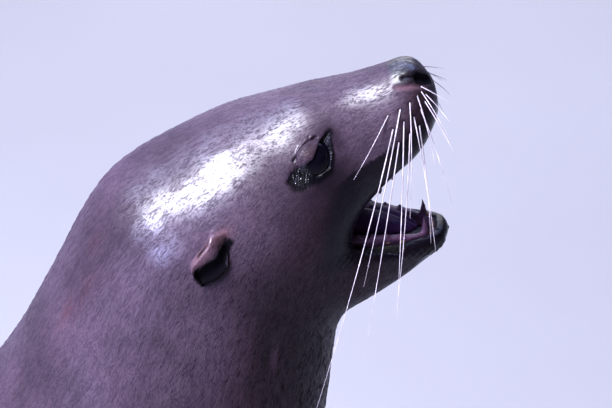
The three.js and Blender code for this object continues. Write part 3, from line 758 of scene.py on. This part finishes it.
def ear_mesh(side):
    """A small leaf, rolled over at its crest, hollow below and drawn to a hooked tip."""
    steps = 44
    ridge = smooth_path(EAR_RIDGE, steps)
    hang = smooth_path(EAR_HANG, steps)[:, 0]
    apron = smooth_path(EAR_APRON, steps)[:, 0]
    section = smooth_path(EAR_SECTION, 40)
    out, down = np.array([-0.1, 1.0, 0.12]), np.array([0.10, 0.16, -0.98])
    points = []
    for i in range(steps):
        t = i / (steps - 1)
        size = 0.45 + 0.55 * math.sin(math.pi * min(t * 1.35 + 0.12, 1.0) * 0.62)
        taper = 1.0 - 0.55 * max(0.0, (t - 0.75) / 0.25)
        for o, d in section:
            drop = apron[i] + d * (hang[i] - apron[i]) if d > 0 else d * size * taper
            points.append(ridge[i] + out * (o * (taper if o > -9.0 else 1.0)) + down * drop)
    mesh = bmesh.new()
    verts = [mesh.verts.new(p) for p in HEAD.out(np.array(points) * (1.0, side, 1.0))]
    for face in tube_faces(0, steps, len(section)):
        mesh.faces.new([verts[k] for k in face])
    bmesh.ops.recalc_face_normals(mesh, faces=mesh.faces)
    return placed("ear_shape", mesh_from("ear", mesh))


def add_ears(skin):
    for _, side in SIDES:
        ear = ear_mesh(side)
        join = skin.modifiers.new("ear", "BOOLEAN")
        join.operation, join.solver, join.object = "UNION", "MANIFOLD", ear
        applied(skin)
        bpy.data.objects.remove(ear)
    points = points_of(skin.data)
    local = mirror_left(HEAD.into(points))
    gap = np.linalg.norm((local - (3.0, 101.0, -6.0)) / (1.3, 1.0, 1.0), axis=1)
    put_points(skin.data, relaxed(points, edges_of(skin.data), 0.6 * bell(gap - 12.0, 16.0), 4))


# ---- shader groups and materials

def new_group(name, inputs, outputs):
    group = bpy.data.node_groups.new(name, "ShaderNodeTree")
    for label, kind, default in inputs:
        socket = group.interface.new_socket(name=label, in_out="INPUT", socket_type=kind)
        if default is not None:
            socket.default_value = default
    for label, kind in outputs:
        group.interface.new_socket(name=label, in_out="OUTPUT", socket_type=kind)
    return group, group.nodes.new("NodeGroupInput"), group.nodes.new("NodeGroupOutput")


def put_inputs(node, values):
    for key, value in values.items():
        node.inputs[key].default_value = value


class Nodes:
    """Short ways to add and join the nodes of one tree."""

    def __init__(self, tree):
        self.tree = tree

    def add(self, kind, **settings):
        node = self.tree.nodes.new(kind)
        for key, value in settings.items():
            setattr(node, key, value)
        return node

    def link(self, source, target):
        self.tree.links.new(source, target)

    def value(self, node, socket, source):
        if isinstance(source, bpy.types.NodeSocket):
            self.link(source, node.inputs[socket])
        else:
            node.inputs[socket].default_value = source

    def math(self, operation, a, b=0.0, clamp=False):
        node = self.add("ShaderNodeMath", operation=operation, use_clamp=clamp)
        self.value(node, 0, a)
        self.value(node, 1, b)
        return node.outputs[0]

    def noise(self, vector, scale, detail=3.0, rough=0.55):
        node = self.add("ShaderNodeTexNoise")
        self.link(vector, node.inputs["Vector"])
        put_inputs(node, {"Scale": scale, "Detail": detail, "Roughness": rough})
        return node.outputs["Fac"]

    def stretched(self, vector, scale):
        node = self.add("ShaderNodeMapping")
        self.link(vector, node.inputs["Vector"])
        node.inputs["Scale"].default_value = scale
        return node.outputs["Vector"]

    def ramp(self, value, low, high, to_low=0.0, to_high=1.0):
        node = self.add("ShaderNodeMapRange")
        self.link(value, node.inputs["Value"])
        put_inputs(node, {"From Min": low, "From Max": high, "To Min": to_low, "To Max": to_high})
        return node.outputs["Result"]

    def mix(self, share, a, b, blend="MIX"):
        node = self.add("ShaderNodeMix", data_type="RGBA", blend_type=blend)
        self.value(node, "Factor", share)
        for key, source in ((6, a), (7, b)):
            self.value(node, key, source if isinstance(source, bpy.types.NodeSocket) else (*source[:3], 1.0))
        return node.outputs[2]

    def bump(self, height, strength, distance, shader):
        node = self.add("ShaderNodeBump")
        put_inputs(node, {"Strength": strength, "Distance": distance})
        self.link(height, node.inputs["Height"])
        self.link(node.outputs["Normal"], shader.inputs["Normal"])


def coat_grain_group():
    """Streaks of short flat fur and broader mottling, along the straightened body."""
    group, given, result = new_group(
        "coat_grain",
        [("Lie", "NodeSocketVector", None)],
        [("Streaks", "NodeSocketFloat"), ("Clumps", "NodeSocketFloat"), ("Mottle", "NodeSocketFloat")],
    )
    n = Nodes(group)
    lie = given.outputs["Lie"]
    sway = n.add("ShaderNodeTexNoise")
    n.link(lie, sway.inputs["Vector"])
    sway.inputs["Scale"].default_value = 22.0
    lean = n.add("ShaderNodeVectorMath", operation="SCALE")
    n.link(sway.outputs["Color"], lean.inputs[0])
    lean.inputs["Scale"].default_value = 0.012
    bent = n.add("ShaderNodeVectorMath", operation="ADD")
    n.link(lie, bent.inputs[0])
    n.link(lean.outputs["Vector"], bent.inputs[1])
    bent = bent.outputs["Vector"]
    n.link(n.noise(n.stretched(bent, (220.0, 950.0, 950.0)), 1.0, 2.0), result.inputs["Streaks"])
    n.link(n.noise(n.stretched(bent, (42.0, 260.0, 260.0)), 1.0, 2.5), result.inputs["Clumps"])
    n.link(n.noise(lie, 13.0, 4.0), result.inputs["Mottle"])
    return group


def new_material(name):
    material = bpy.data.materials.new(name)
    material.use_nodes = True
    n = Nodes(material.node_tree)
    shader = material.node_tree.nodes["Principled BSDF"]
    return material, n, shader


def skin_material(settings):
    material, n, shader = new_material("wet_coat")
    lie = n.add("ShaderNodeAttribute", attribute_name="lie").outputs["Vector"]
    bare, painted_shade_and_dark_lids, pink, scar, black_and_painted_shade, wet = (
        n.add("ShaderNodeAttribute", attribute_name=name).outputs["Fac"]
        for name in ("bare", "painted_shade_and_dark_lids", "pink", "scar", "black_and_painted_shade", "wet"))
    grain = n.add("ShaderNodeGroup", node_tree=bpy.data.node_groups["coat_grain"])
    n.link(lie, grain.inputs["Lie"])
    streaks, clumps, mottle = (grain.outputs[name] for name in ("Streaks", "Clumps", "Mottle"))
    furred = n.math("SUBTRACT", 1.0, bare)
    fur, skin = Vector(settings.fur_colour), Vector(settings.bare_colour)
    coat = n.mix(n.ramp(mottle, 0.36, 0.66), tuple(fur * 0.72), tuple(fur * 1.3))
    # The coat is darker between its streaks and clumps of fur: painted shade in the gaps, where little light
    # falls.
    lit = n.math("ADD", n.math("MULTIPLY", streaks, 0.6), n.math("MULTIPLY", clumps, 0.4))
    coat = n.mix(n.ramp(lit, 0.40, 0.60), n.mix(1.0, coat, (0.55, 0.53, 0.60), "MULTIPLY"), coat)
    # Darker reddish fur where shade is painted on the neck, cheeks and muzzle, and on the lids.
    coat = n.mix(painted_shade_and_dark_lids, coat, n.mix(1.0, coat, (0.27, 0.17, 0.17), "MULTIPLY"))
    coat = n.mix(pink, coat, (0.17, 0.075, 0.085))
    coat = n.mix(n.math("MULTIPLY", scar, n.ramp(streaks, 0.40, 0.65)), coat, (0.085, 0.022, 0.025))
    bare_tone = n.mix(n.ramp(mottle, 0.3, 0.7), tuple(skin * 0.7), tuple(skin * 1.5))
    tone = n.mix(bare, coat, bare_tone)
    # Near black where the skin is black or where shade is painted.
    n.link(n.mix(black_and_painted_shade, tone, (0.0012, 0.001, 0.002)), shader.inputs["Base Color"])
    rough = n.ramp(lit, 0.38, 0.62, 0.58, 0.36)
    rough = n.math("SUBTRACT", rough, n.math("MULTIPLY", bare, 0.16))
    rough = n.math("SUBTRACT", rough, n.math("MULTIPLY", black_and_painted_shade, 0.22))
    n.link(n.math("SUBTRACT", rough, n.math("MULTIPLY", wet, 0.08)), shader.inputs["Roughness"])
    patchy = n.ramp(n.noise(lie, 34.0, 5.0), 0.38, 0.56, 0.4, 1.0)
    damp = n.math("MULTIPLY", n.math("MULTIPLY", wet, patchy), n.ramp(lit, 0.42, 0.55, 0.15, 1.0))
    n.link(damp, shader.inputs["Coat Weight"])
    put_inputs(shader, {
        "Coat Roughness": 0.33, "Coat IOR": 2.15, "Specular IOR Level": 0.1,
        "Sheen Weight": 0.05, "Sheen Roughness": 0.45, "Sheen Tint": (0.72, 0.70, 1.0, 1.0)})
    height = n.math("ADD", n.math("MULTIPLY", streaks, 0.55), n.math("MULTIPLY", clumps, 0.6))
    pores = n.noise(lie, 700.0, 2.0)
    raised = n.math("ADD", n.math("MULTIPLY", height, n.ramp(furred, 0.0, 1.0, 0.12, 1.0)),
                    n.math("MULTIPLY", n.math("MULTIPLY", pores, bare), 0.3))
    n.bump(raised, 0.8, 0.0012, shader)
    return material


def mottled_material(name, colours, spread, rough, scale, coat, coat_rough, strength, distance, gloss=0.5):
    """Two colours and two roughnesses in soft patches, which are slightly raised as well."""
    material, n, shader = new_material(name)
    grain = n.noise(n.add("ShaderNodeTexCoord").outputs["Object"], scale, 4.0)
    n.link(n.mix(n.ramp(grain, *spread), *colours), shader.inputs["Base Color"])
    n.link(n.ramp(grain, 0.3, 0.7, *rough), shader.inputs["Roughness"])
    put_inputs(shader, {"Specular IOR Level": gloss, "Coat Weight": coat, "Coat Roughness": coat_rough})
    n.bump(grain, strength, distance, shader)
    return material


def simple_material(
        name, colour, rough, scale, bump_height=0.0003, coat=0.6, contrast=0.35, gloss=0.5):
    """Wet bare tissue or horn: mottled, faintly uneven and glossy."""
    tint = Vector(colour)
    return mottled_material(
        name, (tuple(tint * (1.0 - contrast)), tuple(tint * (1.0 + contrast))), (0.3, 0.7),
        (rough * 0.8, rough * 1.25), scale, coat, 0.08, 0.6, bump_height, gloss)


# ---- operators

class SEALION_OT_skin(bpy.types.Operator):
    """One seamless skin over the head, body, flippers and ears"""

    bl_idname = "sealion.skin"
    bl_label = "Skin"

    def execute(self, context):
        settings = context.scene.sealion_skin
        skin = joined(placed("skin", joined_flesh()), settings.voxel)
        soften_skin(skin.data, settings)
        thin_out(skin, settings)
        fill_nostrils(skin)
        refine(skin, near_details)
        refine(skin, near_fine_details)
        points, normals = points_of(skin.data), normals_of(skin.data)
        points = points + sculpt_face(points, normals) + sculpt_body(points, normals)
        points[:, 2] = np.maximum(points[:, 2], 0.0)
        put_points(skin.data, points)
        keep_under(skin, settings.most_triangles)
        add_ears(skin)
        points = points_of(skin.data)
        put_attribute(skin.data, "lie", straightened(points)[0])
        for name, mask in skin_masks(points, normals_of(skin.data)).items():
            put_attribute(skin.data, name, mask)
        finish_smooth(skin)
        unwrap(skin)
        coat_grain_group()
        # The second material, a dull black, holds painted shade and shadow in the ears' undersides, the pits
        # behind them and the nostrils.
        clothed(skin, skin_material(settings), simple_material(
            "hollow", (0.0016, 0.0011, 0.0024), rough=0.65, scale=300.0, coat=0.0, contrast=0.5, gloss=0.05))
        paint_shade_in_hollows(skin)
        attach(skin, "root")
        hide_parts(*FLESH, "ear_left", "ear_right")
        return {"FINISHED"}


class SEALION_OT_eyes(bpy.types.Operator):
    """Large dark wet eyeballs behind the lids"""

    bl_idname = "sealion.eyes"
    bl_label = "Eyes"

    def execute(self, context):
        finish = simple_material(
            "eye", (0.002, 0.0015, 0.004), rough=0.09, scale=60.0, bump_height=0.00004, coat=0.0,
            contrast=0.5, gloss=0.10)
        for name, side in SIDES:
            mesh = bmesh.new()
            bmesh.ops.create_uvsphere(mesh, u_segments=64, v_segments=40, radius=(EYE_RADIUS - 0.3) * MM)
            ball = placed(f"eyeball_{name}", mesh_from(f"eyeball_{name}", mesh))
            ball.location = Vector(HEAD.out(EYE_CENTRE * (1.0, side, 1.0))[0])
            finish_smooth(ball)
            clothed(ball, finish)
            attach(ball, "root")
            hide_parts(f"eye_{name}")
        return {"FINISHED"}


# Teeth of one side: root, height and width, in millimetres of the head's or the jaw's frame.
UPPER_TEETH = (
    ((124.0, 29.0, -59.0), 6.0, 8.0), ((140.0, 26.3, -53.5), 6.0, 8.0), ((156.0, 23.7, -48.5), 6.0, 8.0),
    ((172.0, 21.0, -43.5), 6.0, 8.0), ((189.0, 17.0, -34.0), 7.5, 9.0), ((201.0, 8.5, -36.5), 6.5, 5.5),
    ((203.5, 3.0, -36.5), 5.5, 4.5),
)
LOWER_TEETH = (
    ((98.0, 34.0, -6.0), 7.0, 8.0), ((111.3, 31.3, -5.7), 7.0, 8.0), ((124.7, 28.7, -5.3), 7.0, 8.0),
    ((138.0, 26.0, -5.0), 7.5, 8.0), ((163.0, 15.0, -8.0), 13.0, 9.0), ((166.5, 6.0, -4.0), 8.0, 5.0),
    ((168.0, 2.2, -4.0), 7.0, 4.2),
)
# Swellings of the gum round the roots of the lower canines: place in the jaw's frame, height and width.
CANINE_GUMS = (((161.5, 14.5, -9.0), 6.0, 13.0), ((161.5, -14.5, -9.0), 6.0, 13.0))


def softened_copy(name, node, voxel, rounds, swellings=()):
    """A rounded copy of a small CAD piece, with blunt cones joined to it."""
    mesh = bmesh.new()
    mesh.from_mesh(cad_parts[node].data)
    bmesh.ops.remove_doubles(mesh, verts=mesh.verts, dist=1e-6)
    for place, height, width in swellings:
        middle = JAW.out(np.array(place) + (0.0, 0.0, 0.5 * height))[0]
        bmesh.ops.create_cone(
            mesh, cap_ends=True, segments=20, radius1=0.5 * width * MM, radius2=0.30 * width * MM,
            depth=height * MM, matrix=Matrix.Translation(middle))
    piece = joined(placed(name, mesh_from(name, mesh)), voxel)
    put_points(piece.data, relaxed(points_of(piece.data), edges_of(piece.data), 0.6, rounds))
    finish_smooth(piece)
    return piece


def teeth_mesh(name, place, row, way):
    """Curved cones with a swollen root. The tips lean back."""
    rings, sides = 9, 12
    points, faces = [], []
    for (x, y, z), height, width in row:
        for side in (1.0, -1.0):
            base = len(points)
            for i in range(rings):
                t = i / (rings - 1)
                girth = 0.5 * width * (1.04 - 0.1 * t) * (1.0 - t ** 1.7) ** 0.62 + 0.12
                at = np.array([x - 0.20 * height * t * t, y * side, z + way * height * (t * 1.06 - 0.06)])
                for a in 2.0 * math.pi * np.arange(sides) / sides:
                    points.append(at + (girth * math.cos(a), 0.8 * girth * math.sin(a), 0.0))
            faces.extend(tube_faces(base, rings, sides, way > 0))
    teeth = object_from(name, place.out(points), faces)
    finish_smooth(teeth)
    return teeth


class SEALION_OT_mouth(bpy.types.Operator):
    """Gums, stained teeth and a grooved tongue"""

    bl_idname = "sealion.mouth"
    bl_label = "Mouth"

    def execute(self, context):
        gum = simple_material(
            "gum", (0.070, 0.030, 0.062), rough=0.5, scale=200.0, bump_height=0.0004, coat=0.12,
            contrast=0.4, gloss=0.25)
        ivory, brown_stain = (0.22, 0.14, 0.07), (0.035, 0.018, 0.012)
        enamel = mottled_material(
            "enamel", (ivory, brown_stain), (0.35, 0.62), rough=(0.22, 0.4), scale=150.0, coat=0.4,
            coat_rough=0.1, strength=0.4, distance=0.0002)
        for node, place, row, way in (
            ("upper_gum", HEAD, UPPER_TEETH, -1.0), ("lower_gum", JAW, LOWER_TEETH, 1.0),
        ):
            ridge = softened_copy(
                f"{node}_ridge", node, 0.0012, 14, CANINE_GUMS if node == "lower_gum" else ())
            teeth = teeth_mesh(f"{node}_teeth", place, row, way)
            for piece, finish in ((ridge, gum), (teeth, enamel)):
                clothed(piece, finish)
                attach(piece, "root")
                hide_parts(node)
        tongue = softened_copy("tongue_blade", "tongue", 0.0013, 26)
        points = points_of(tongue.data)
        local = JAW.into(points)
        on_top = step(normals_of(tongue.data)[:, 2], 0.3, 0.8)
        dip = 2.2 * bell(local[:, 1], 2.6) * step(local[:, 0], 70.0, 95.0)
        warts = 0.25 * np.sin(local[:, 0] * 2.3) * np.sin(local[:, 1] * 2.1)
        lift = (warts - dip) * on_top + 1.6
        put_points(tongue.data, points + normals_of(tongue.data) * (lift * MM)[:, None])
        clothed(tongue, simple_material(
            "tongue", (0.032, 0.012, 0.048), rough=0.5, scale=380.0, bump_height=0.0006, coat=0.05,
            gloss=0.06))
        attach(tongue, "root")
        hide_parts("tongue")
        return {"FINISHED"}


class SEALION_OT_nails(bpy.types.Operator):
    """Horn nails on the three middle toes of each hind flipper"""

    bl_idname = "sealion.nails"
    bl_label = "Nails"

    def execute(self, context):
        horn = simple_material("nail", (0.05, 0.036, 0.034), rough=0.35, scale=240.0)
        for name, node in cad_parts.items():
            if name.startswith("hind_nail"):
                clothed(node, horn)
        return {"FINISHED"}


# ---- tufts

def tuft_sites(skin, settings):
    """Random places on the furred skin, each with its normal, lie, size and place on the skin's map."""
    mesh = skin.data
    draw = np.random.default_rng(settings.seed)
    points, normals = points_of(mesh), normals_of(mesh)
    mesh.calc_loop_triangles()
    corners = read(mesh.loop_triangles, "vertices", 3, np.int32)
    loops = read(mesh.loop_triangles, "loops", 3, np.int32)
    maps = read(mesh.uv_layers["OFBake"].data, "uv", 2)
    bare = read(mesh.attributes["bare"].data, "value")
    a, b, c = (points[corners[:, k]] for k in range(3))
    area = 0.5 * np.linalg.norm(np.cross(b - a, c - a), axis=1)
    middle = (a + b + c) / 3.0
    local = mirror_left(HEAD.into(middle))
    jaw = JAW.into(middle)
    inside_mouth = (jaw[:, 0] > 20.0) & (jaw[:, 2] > -22.0) & (local[:, 2] < -15.0) & (local[:, 0] > 30.0)
    furred = (bare[corners].max(1) < 0.25) & ~inside_mouth & (middle[:, 2] > 0.012)
    on_face = step(local[:, 0], -30.0, 60.0)
    share = area * furred * (1.0 + 1.4 * on_face)
    chosen = draw.choice(len(area), settings.count, p=share / share.sum())
    mixes = draw.dirichlet((1.0, 1.0, 1.0), settings.count)
    at, up, place = (
        np.einsum("nk,nkd->nd", mixes, rows[which[chosen]])
        for rows, which in ((points, corners), (normals, corners), (maps, loops)))
    up /= np.linalg.norm(up, axis=1)[:, None]
    way = straightened(at)[1]
    way -= up * (way * up).sum(1)[:, None]
    size = np.linalg.norm(way, axis=1)
    kept = size > 0.2
    way = way[kept] / size[kept, None]
    small = 1.0 - 0.62 * on_face[chosen][kept]
    return at[kept], up[kept], way, small, place[kept], draw


def tufts_mesh(name, at, up, way, small, place, draw, settings):
    """Low three-sided clumps that lie along the body, as one mesh."""
    count = len(at)
    across = np.cross(up, way)
    turn = draw.normal(0.0, 0.14, count)[:, None]
    way = way * np.cos(turn) + across * np.sin(turn)
    across = np.cross(up, way)
    long = (settings.length * small * draw.uniform(0.6, 1.35, count))[:, None]
    wide = (settings.width * (0.35 + 0.65 * small) * draw.uniform(0.7, 1.3, count))[:, None]
    rise = (settings.lift * (0.4 + 0.6 * small) * draw.uniform(0.2, 1.8, count))[:, None]
    foot = at - up * TUFT_ROOT
    corners = np.stack([
        foot - across * wide * 0.5, foot + across * wide * 0.5, foot + up * (TUFT_ROOT + rise * 0.35),
        at + way * long * 0.55 - across * wide * 0.42 - up * 0.0001,
        at + way * long * 0.55 + across * wide * 0.42 - up * 0.0001,
        at + way * long * 0.55 + up * rise * 0.9,
        at + way * long + up * rise * 0.7,
    ], 1).reshape(-1, 3)
    shape = ((0, 2, 1), (0, 1, 4, 3), (1, 2, 5, 4), (2, 0, 3, 5), (3, 4, 6), (4, 5, 6), (5, 3, 6))
    faces = [tuple(base + k for k in face) for base in range(0, count * 7, 7) for face in shape]
    tufts = object_from(name, corners, faces)
    mesh = tufts.data
    layer = mesh.uv_layers.new(name="OFBake")
    patch = np.array([(-1, -1), (1, -1), (0, -0.6), (-0.8, 0.3), (0.8, 0.3), (0, 0.3), (0, 1)]) * PATCH
    where = read(mesh.loops, "vertex_index", kind=np.int32)
    layer.data.foreach_set("uv", (place[where // 7] + patch[where % 7]).astype(np.float32).ravel())
    owner = np.arange(count * 7) // 7
    shift = corners - at[owner]
    put_attribute(mesh, "lie", straightened(at)[0][owner] + np.stack([
        (shift * way[owner]).sum(1), shift[:, 1], shift[:, 2]], 1))
    for mask_name, mask in skin_masks(at, up).items():
        put_attribute(mesh, mask_name, mask[owner])
    finish_smooth(tufts)
    lean = normals_of(mesh) * 0.12 + up[owner]
    lean /= np.linalg.norm(lean, axis=1)[:, None]
    mesh.normals_split_custom_set_from_vertices(lean.tolist())
    clothed(tufts, bpy.data.objects["skin"].data.materials[0])
    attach(tufts, "root")


class SEALION_OT_tufts(bpy.types.Operator):
    """Short wet clumps of fur that lie along the body and break its outline"""

    bl_idname = "sealion.tufts"
    bl_label = "Tufts"

    def execute(self, context):
        settings = context.scene.sealion_coat
        *sites, draw = tuft_sites(bpy.data.objects["skin"], settings)
        names = ("tufts_head_and_neck", "tufts_trunk", "tufts_hindquarters")
        from_nose = np.argsort(-sites[0][:, 0])
        for name, chosen in zip(names, np.array_split(from_nose, len(names))):
            tufts_mesh(name, *(rows[chosen] for rows in sites), draw, settings)
        return {"FINISHED"}


class SEALION_OT_whiskers(bpy.types.Operator):
    """Stiff pale whiskers that hang from the pads on both sides of the muzzle"""

    bl_idname = "sealion.whiskers"
    bl_label = "Whiskers"

    def execute(self, context):
        settings = context.scene.sealion_face
        draw = np.random.default_rng(settings.whisker_seed)
        rings, sides = 18, 6
        points, faces = [], []
        # A step right and down in the view from the animal's right side, as a direction in the frame.
        right, low = np.array([1.0, 0.0, 0.0]), np.array([0.0, -0.5, -0.866])
        for root, (across, fall), length in WHISKERS:
            for _, side in SIDES:
                start = HEAD.out(np.array(root) * (1.0, -1.0, 1.0))[0]
                way = right * across + low * fall
                way /= np.linalg.norm(way)
                way = way + np.array([0.0, -0.32, 0.0])
                way /= np.linalg.norm(way)
                wobble = draw.normal(0.0, 0.02, 3)
                size = length * MM * draw.uniform(0.97, 1.03)
                base = len(points)
                for i in range(rings):
                    t = i / (rings - 1)
                    at = start + way * size * t + (np.array([-0.05, 0.0, -0.08]) + wobble) * size * t * t
                    at = at - way * 0.003 * (1.0 - t)
                    girth = settings.whisker_girth * 0.5 * (1.0 - 0.82 * t)
                    x = np.cross(way, (0.0, 1.0, 0.0))
                    x /= np.linalg.norm(x)
                    y = np.cross(way, x)
                    for a in 2.0 * math.pi * np.arange(sides) / sides:
                        p = at + (x * math.cos(a) + y * math.sin(a)) * girth
                        points.append(p * (1.0, -side, 1.0))
                faces.extend(tube_faces(base, rings, sides, side < 0))
        whiskers = object_from("whiskers", points, faces)
        finish_smooth(whiskers)
        clothed(whiskers, simple_material(
            "whisker", (0.40, 0.34, 0.38), rough=0.35, scale=60.0, bump_height=0.00005, coat=0.3,
            contrast=0.6))
        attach(whiskers, "root")
        return {"FINISHED"}


# Each softbox: the place it faces, the way to it from there and how far, its share of the key light's
# power, its width, its spread in degrees and its tint.
SOFTBOXES = (
    ("key", (0.50, 0.0, 0.90), (-0.52, -0.34, 0.78), 2.3, 1.0, 1.3, 180.0, (0.86, 0.88, 1.0)),
    ("side", (0.50, 0.0, 0.90), (-0.72, -0.62, 0.32), 2.6, 0.45, 2.0, 180.0, (0.47, 0.50, 1.0)),
    ("rim", (0.50, 0.0, 0.90), (0.42, 0.47, 0.77), 2.6, 0.13, 1.2, 180.0, (0.42, 0.52, 1.0)),
    ("backdrop", (0.60, 1.9, 0.0), (0.0, 0.75, 0.66), 2.6, 0.13, 2.4, 100.0, (0.92, 0.93, 1.0)),
)
CAMERA_AIM = (0.56335, 0.900)       # ahead and up, in the animal's middle plane
CAMERA_DISTANCE = 2.3
CAMERA_TILT = math.radians(30.0)


class SEALION_OT_stage(bpy.types.Operator):
    """Pale floor, soft studio lights and the camera"""

    bl_idname = "sealion.stage"
    bl_label = "Stage"

    def execute(self, context):
        scene = context.scene
        settings = scene.sealion_stage
        half = 14.0
        floor = object_from(
            "floor", [(-half, -half, 0), (half, -half, 0), (half, half, 0), (-half, half, 0)], [(0, 1, 2, 3)])
        material, n, shader = new_material("floor")
        cloudy = n.ramp(n.noise(n.add("ShaderNodeTexCoord").outputs["Object"], 1.2, 3.0), 0.3, 0.7)
        n.link(n.mix(cloudy, (0.295, 0.28, 0.285), (0.315, 0.305, 0.31)), shader.inputs["Base Color"])
        put_inputs(shader, {"Roughness": 0.8})
        clothed(floor, material)
        world = bpy.data.worlds.new("surroundings")
        world.use_nodes = True
        air = Nodes(world.node_tree)
        glow = world.node_tree.nodes["Background"]
        put_inputs(glow, {"Color": (1.0, 0.72, 0.84, 1.0), "Strength": settings.fill})
        seen = air.add("ShaderNodeBackground")
        put_inputs(seen, {"Color": (0.40, 0.41, 0.50, 1.0)})
        rays, either = air.add("ShaderNodeLightPath"), air.add("ShaderNodeMixShader")
        air.link(rays.outputs["Is Camera Ray"], either.inputs[0])
        air.link(glow.outputs[0], either.inputs[1])
        air.link(seen.outputs[0], either.inputs[2])
        air.link(either.outputs[0], world.node_tree.nodes["World Output"].inputs["Surface"])
        scene.world = world
        scene.view_settings.view_transform = "Standard"
        for name, aim, way, distance, share, width, spread, tint in SOFTBOXES:
            lamp = bpy.data.lights.new(name, "AREA")
            lamp.energy, lamp.size, lamp.color = settings.key_power * share, width, tint
            lamp.spread = math.radians(spread)
            light = placed(name, lamp)
            slant = Vector(way).normalized()
            light.location = Vector(aim) + slant * distance
            light.rotation_euler = slant.to_track_quat("Z", "Y").to_euler()
        sky = bpy.data.lights.new("sky", "SUN")
        sky.energy, sky.angle, sky.color = 4.2, math.radians(70.0), (0.56, 0.64, 1.0)
        light = placed("sky", sky)
        light.rotation_euler = Vector((-0.36, 0.45, 0.80)).to_track_quat("Z", "Y").to_euler()
        lens = bpy.data.cameras.new("camera")
        lens.lens, lens.sensor_width, lens.clip_end = 150.0, 36.0, 60.0
        camera = placed("camera", lens)
        ahead, up = CAMERA_AIM
        camera.location = (
            ahead, -CAMERA_DISTANCE * math.cos(CAMERA_TILT), up + CAMERA_DISTANCE * math.sin(CAMERA_TILT))
        camera.rotation_euler = (math.pi / 2 - CAMERA_TILT, 0.0, 0.0)
        scene.camera = camera
        return {"FINISHED"}


OPERATORS = (
    SEALION_OT_stage, SEALION_OT_skin, SEALION_OT_tufts, SEALION_OT_eyes, SEALION_OT_mouth,
    SEALION_OT_nails, SEALION_OT_whiskers,
)


class SEALION_PT_pieces(bpy.types.Panel):
    """The pieces of the sea lion, in the order they are made"""

    bl_idname = "SEALION_PT_pieces"
    bl_label = "Sea lion"
    bl_space_type = "VIEW_3D"
    bl_region_type = "UI"
    bl_category = "Sea lion"

    def draw(self, context):
        for operator in OPERATORS:
            self.layout.operator(operator.bl_idname)
        for name in SETTINGS:
            group = getattr(context.scene, name)
            for key in group.__annotations__:
                self.layout.prop(group, key)


SETTINGS = {
    "sealion_skin": SkinSettings, "sealion_coat": CoatSettings,
    "sealion_face": FaceSettings, "sealion_stage": StageSettings,
}
CLASSES = (*SETTINGS.values(), *OPERATORS, SEALION_PT_pieces)


def register():
    for item in CLASSES:
        bpy.utils.register_class(item)
    for name, group in SETTINGS.items():
        setattr(bpy.types.Scene, name, PointerProperty(type=group))


def unregister():
    for name in SETTINGS:
        delattr(bpy.types.Scene, name)
    for item in reversed(CLASSES):
        bpy.utils.unregister_class(item)


def main():
    register()
    bpy.ops.sealion.stage()
    bpy.ops.sealion.skin()
    bpy.ops.sealion.tufts()
    bpy.ops.sealion.eyes()
    bpy.ops.sealion.mouth()
    bpy.ops.sealion.nails()
    bpy.ops.sealion.whiskers()


if __name__ == "__main__":
    main()
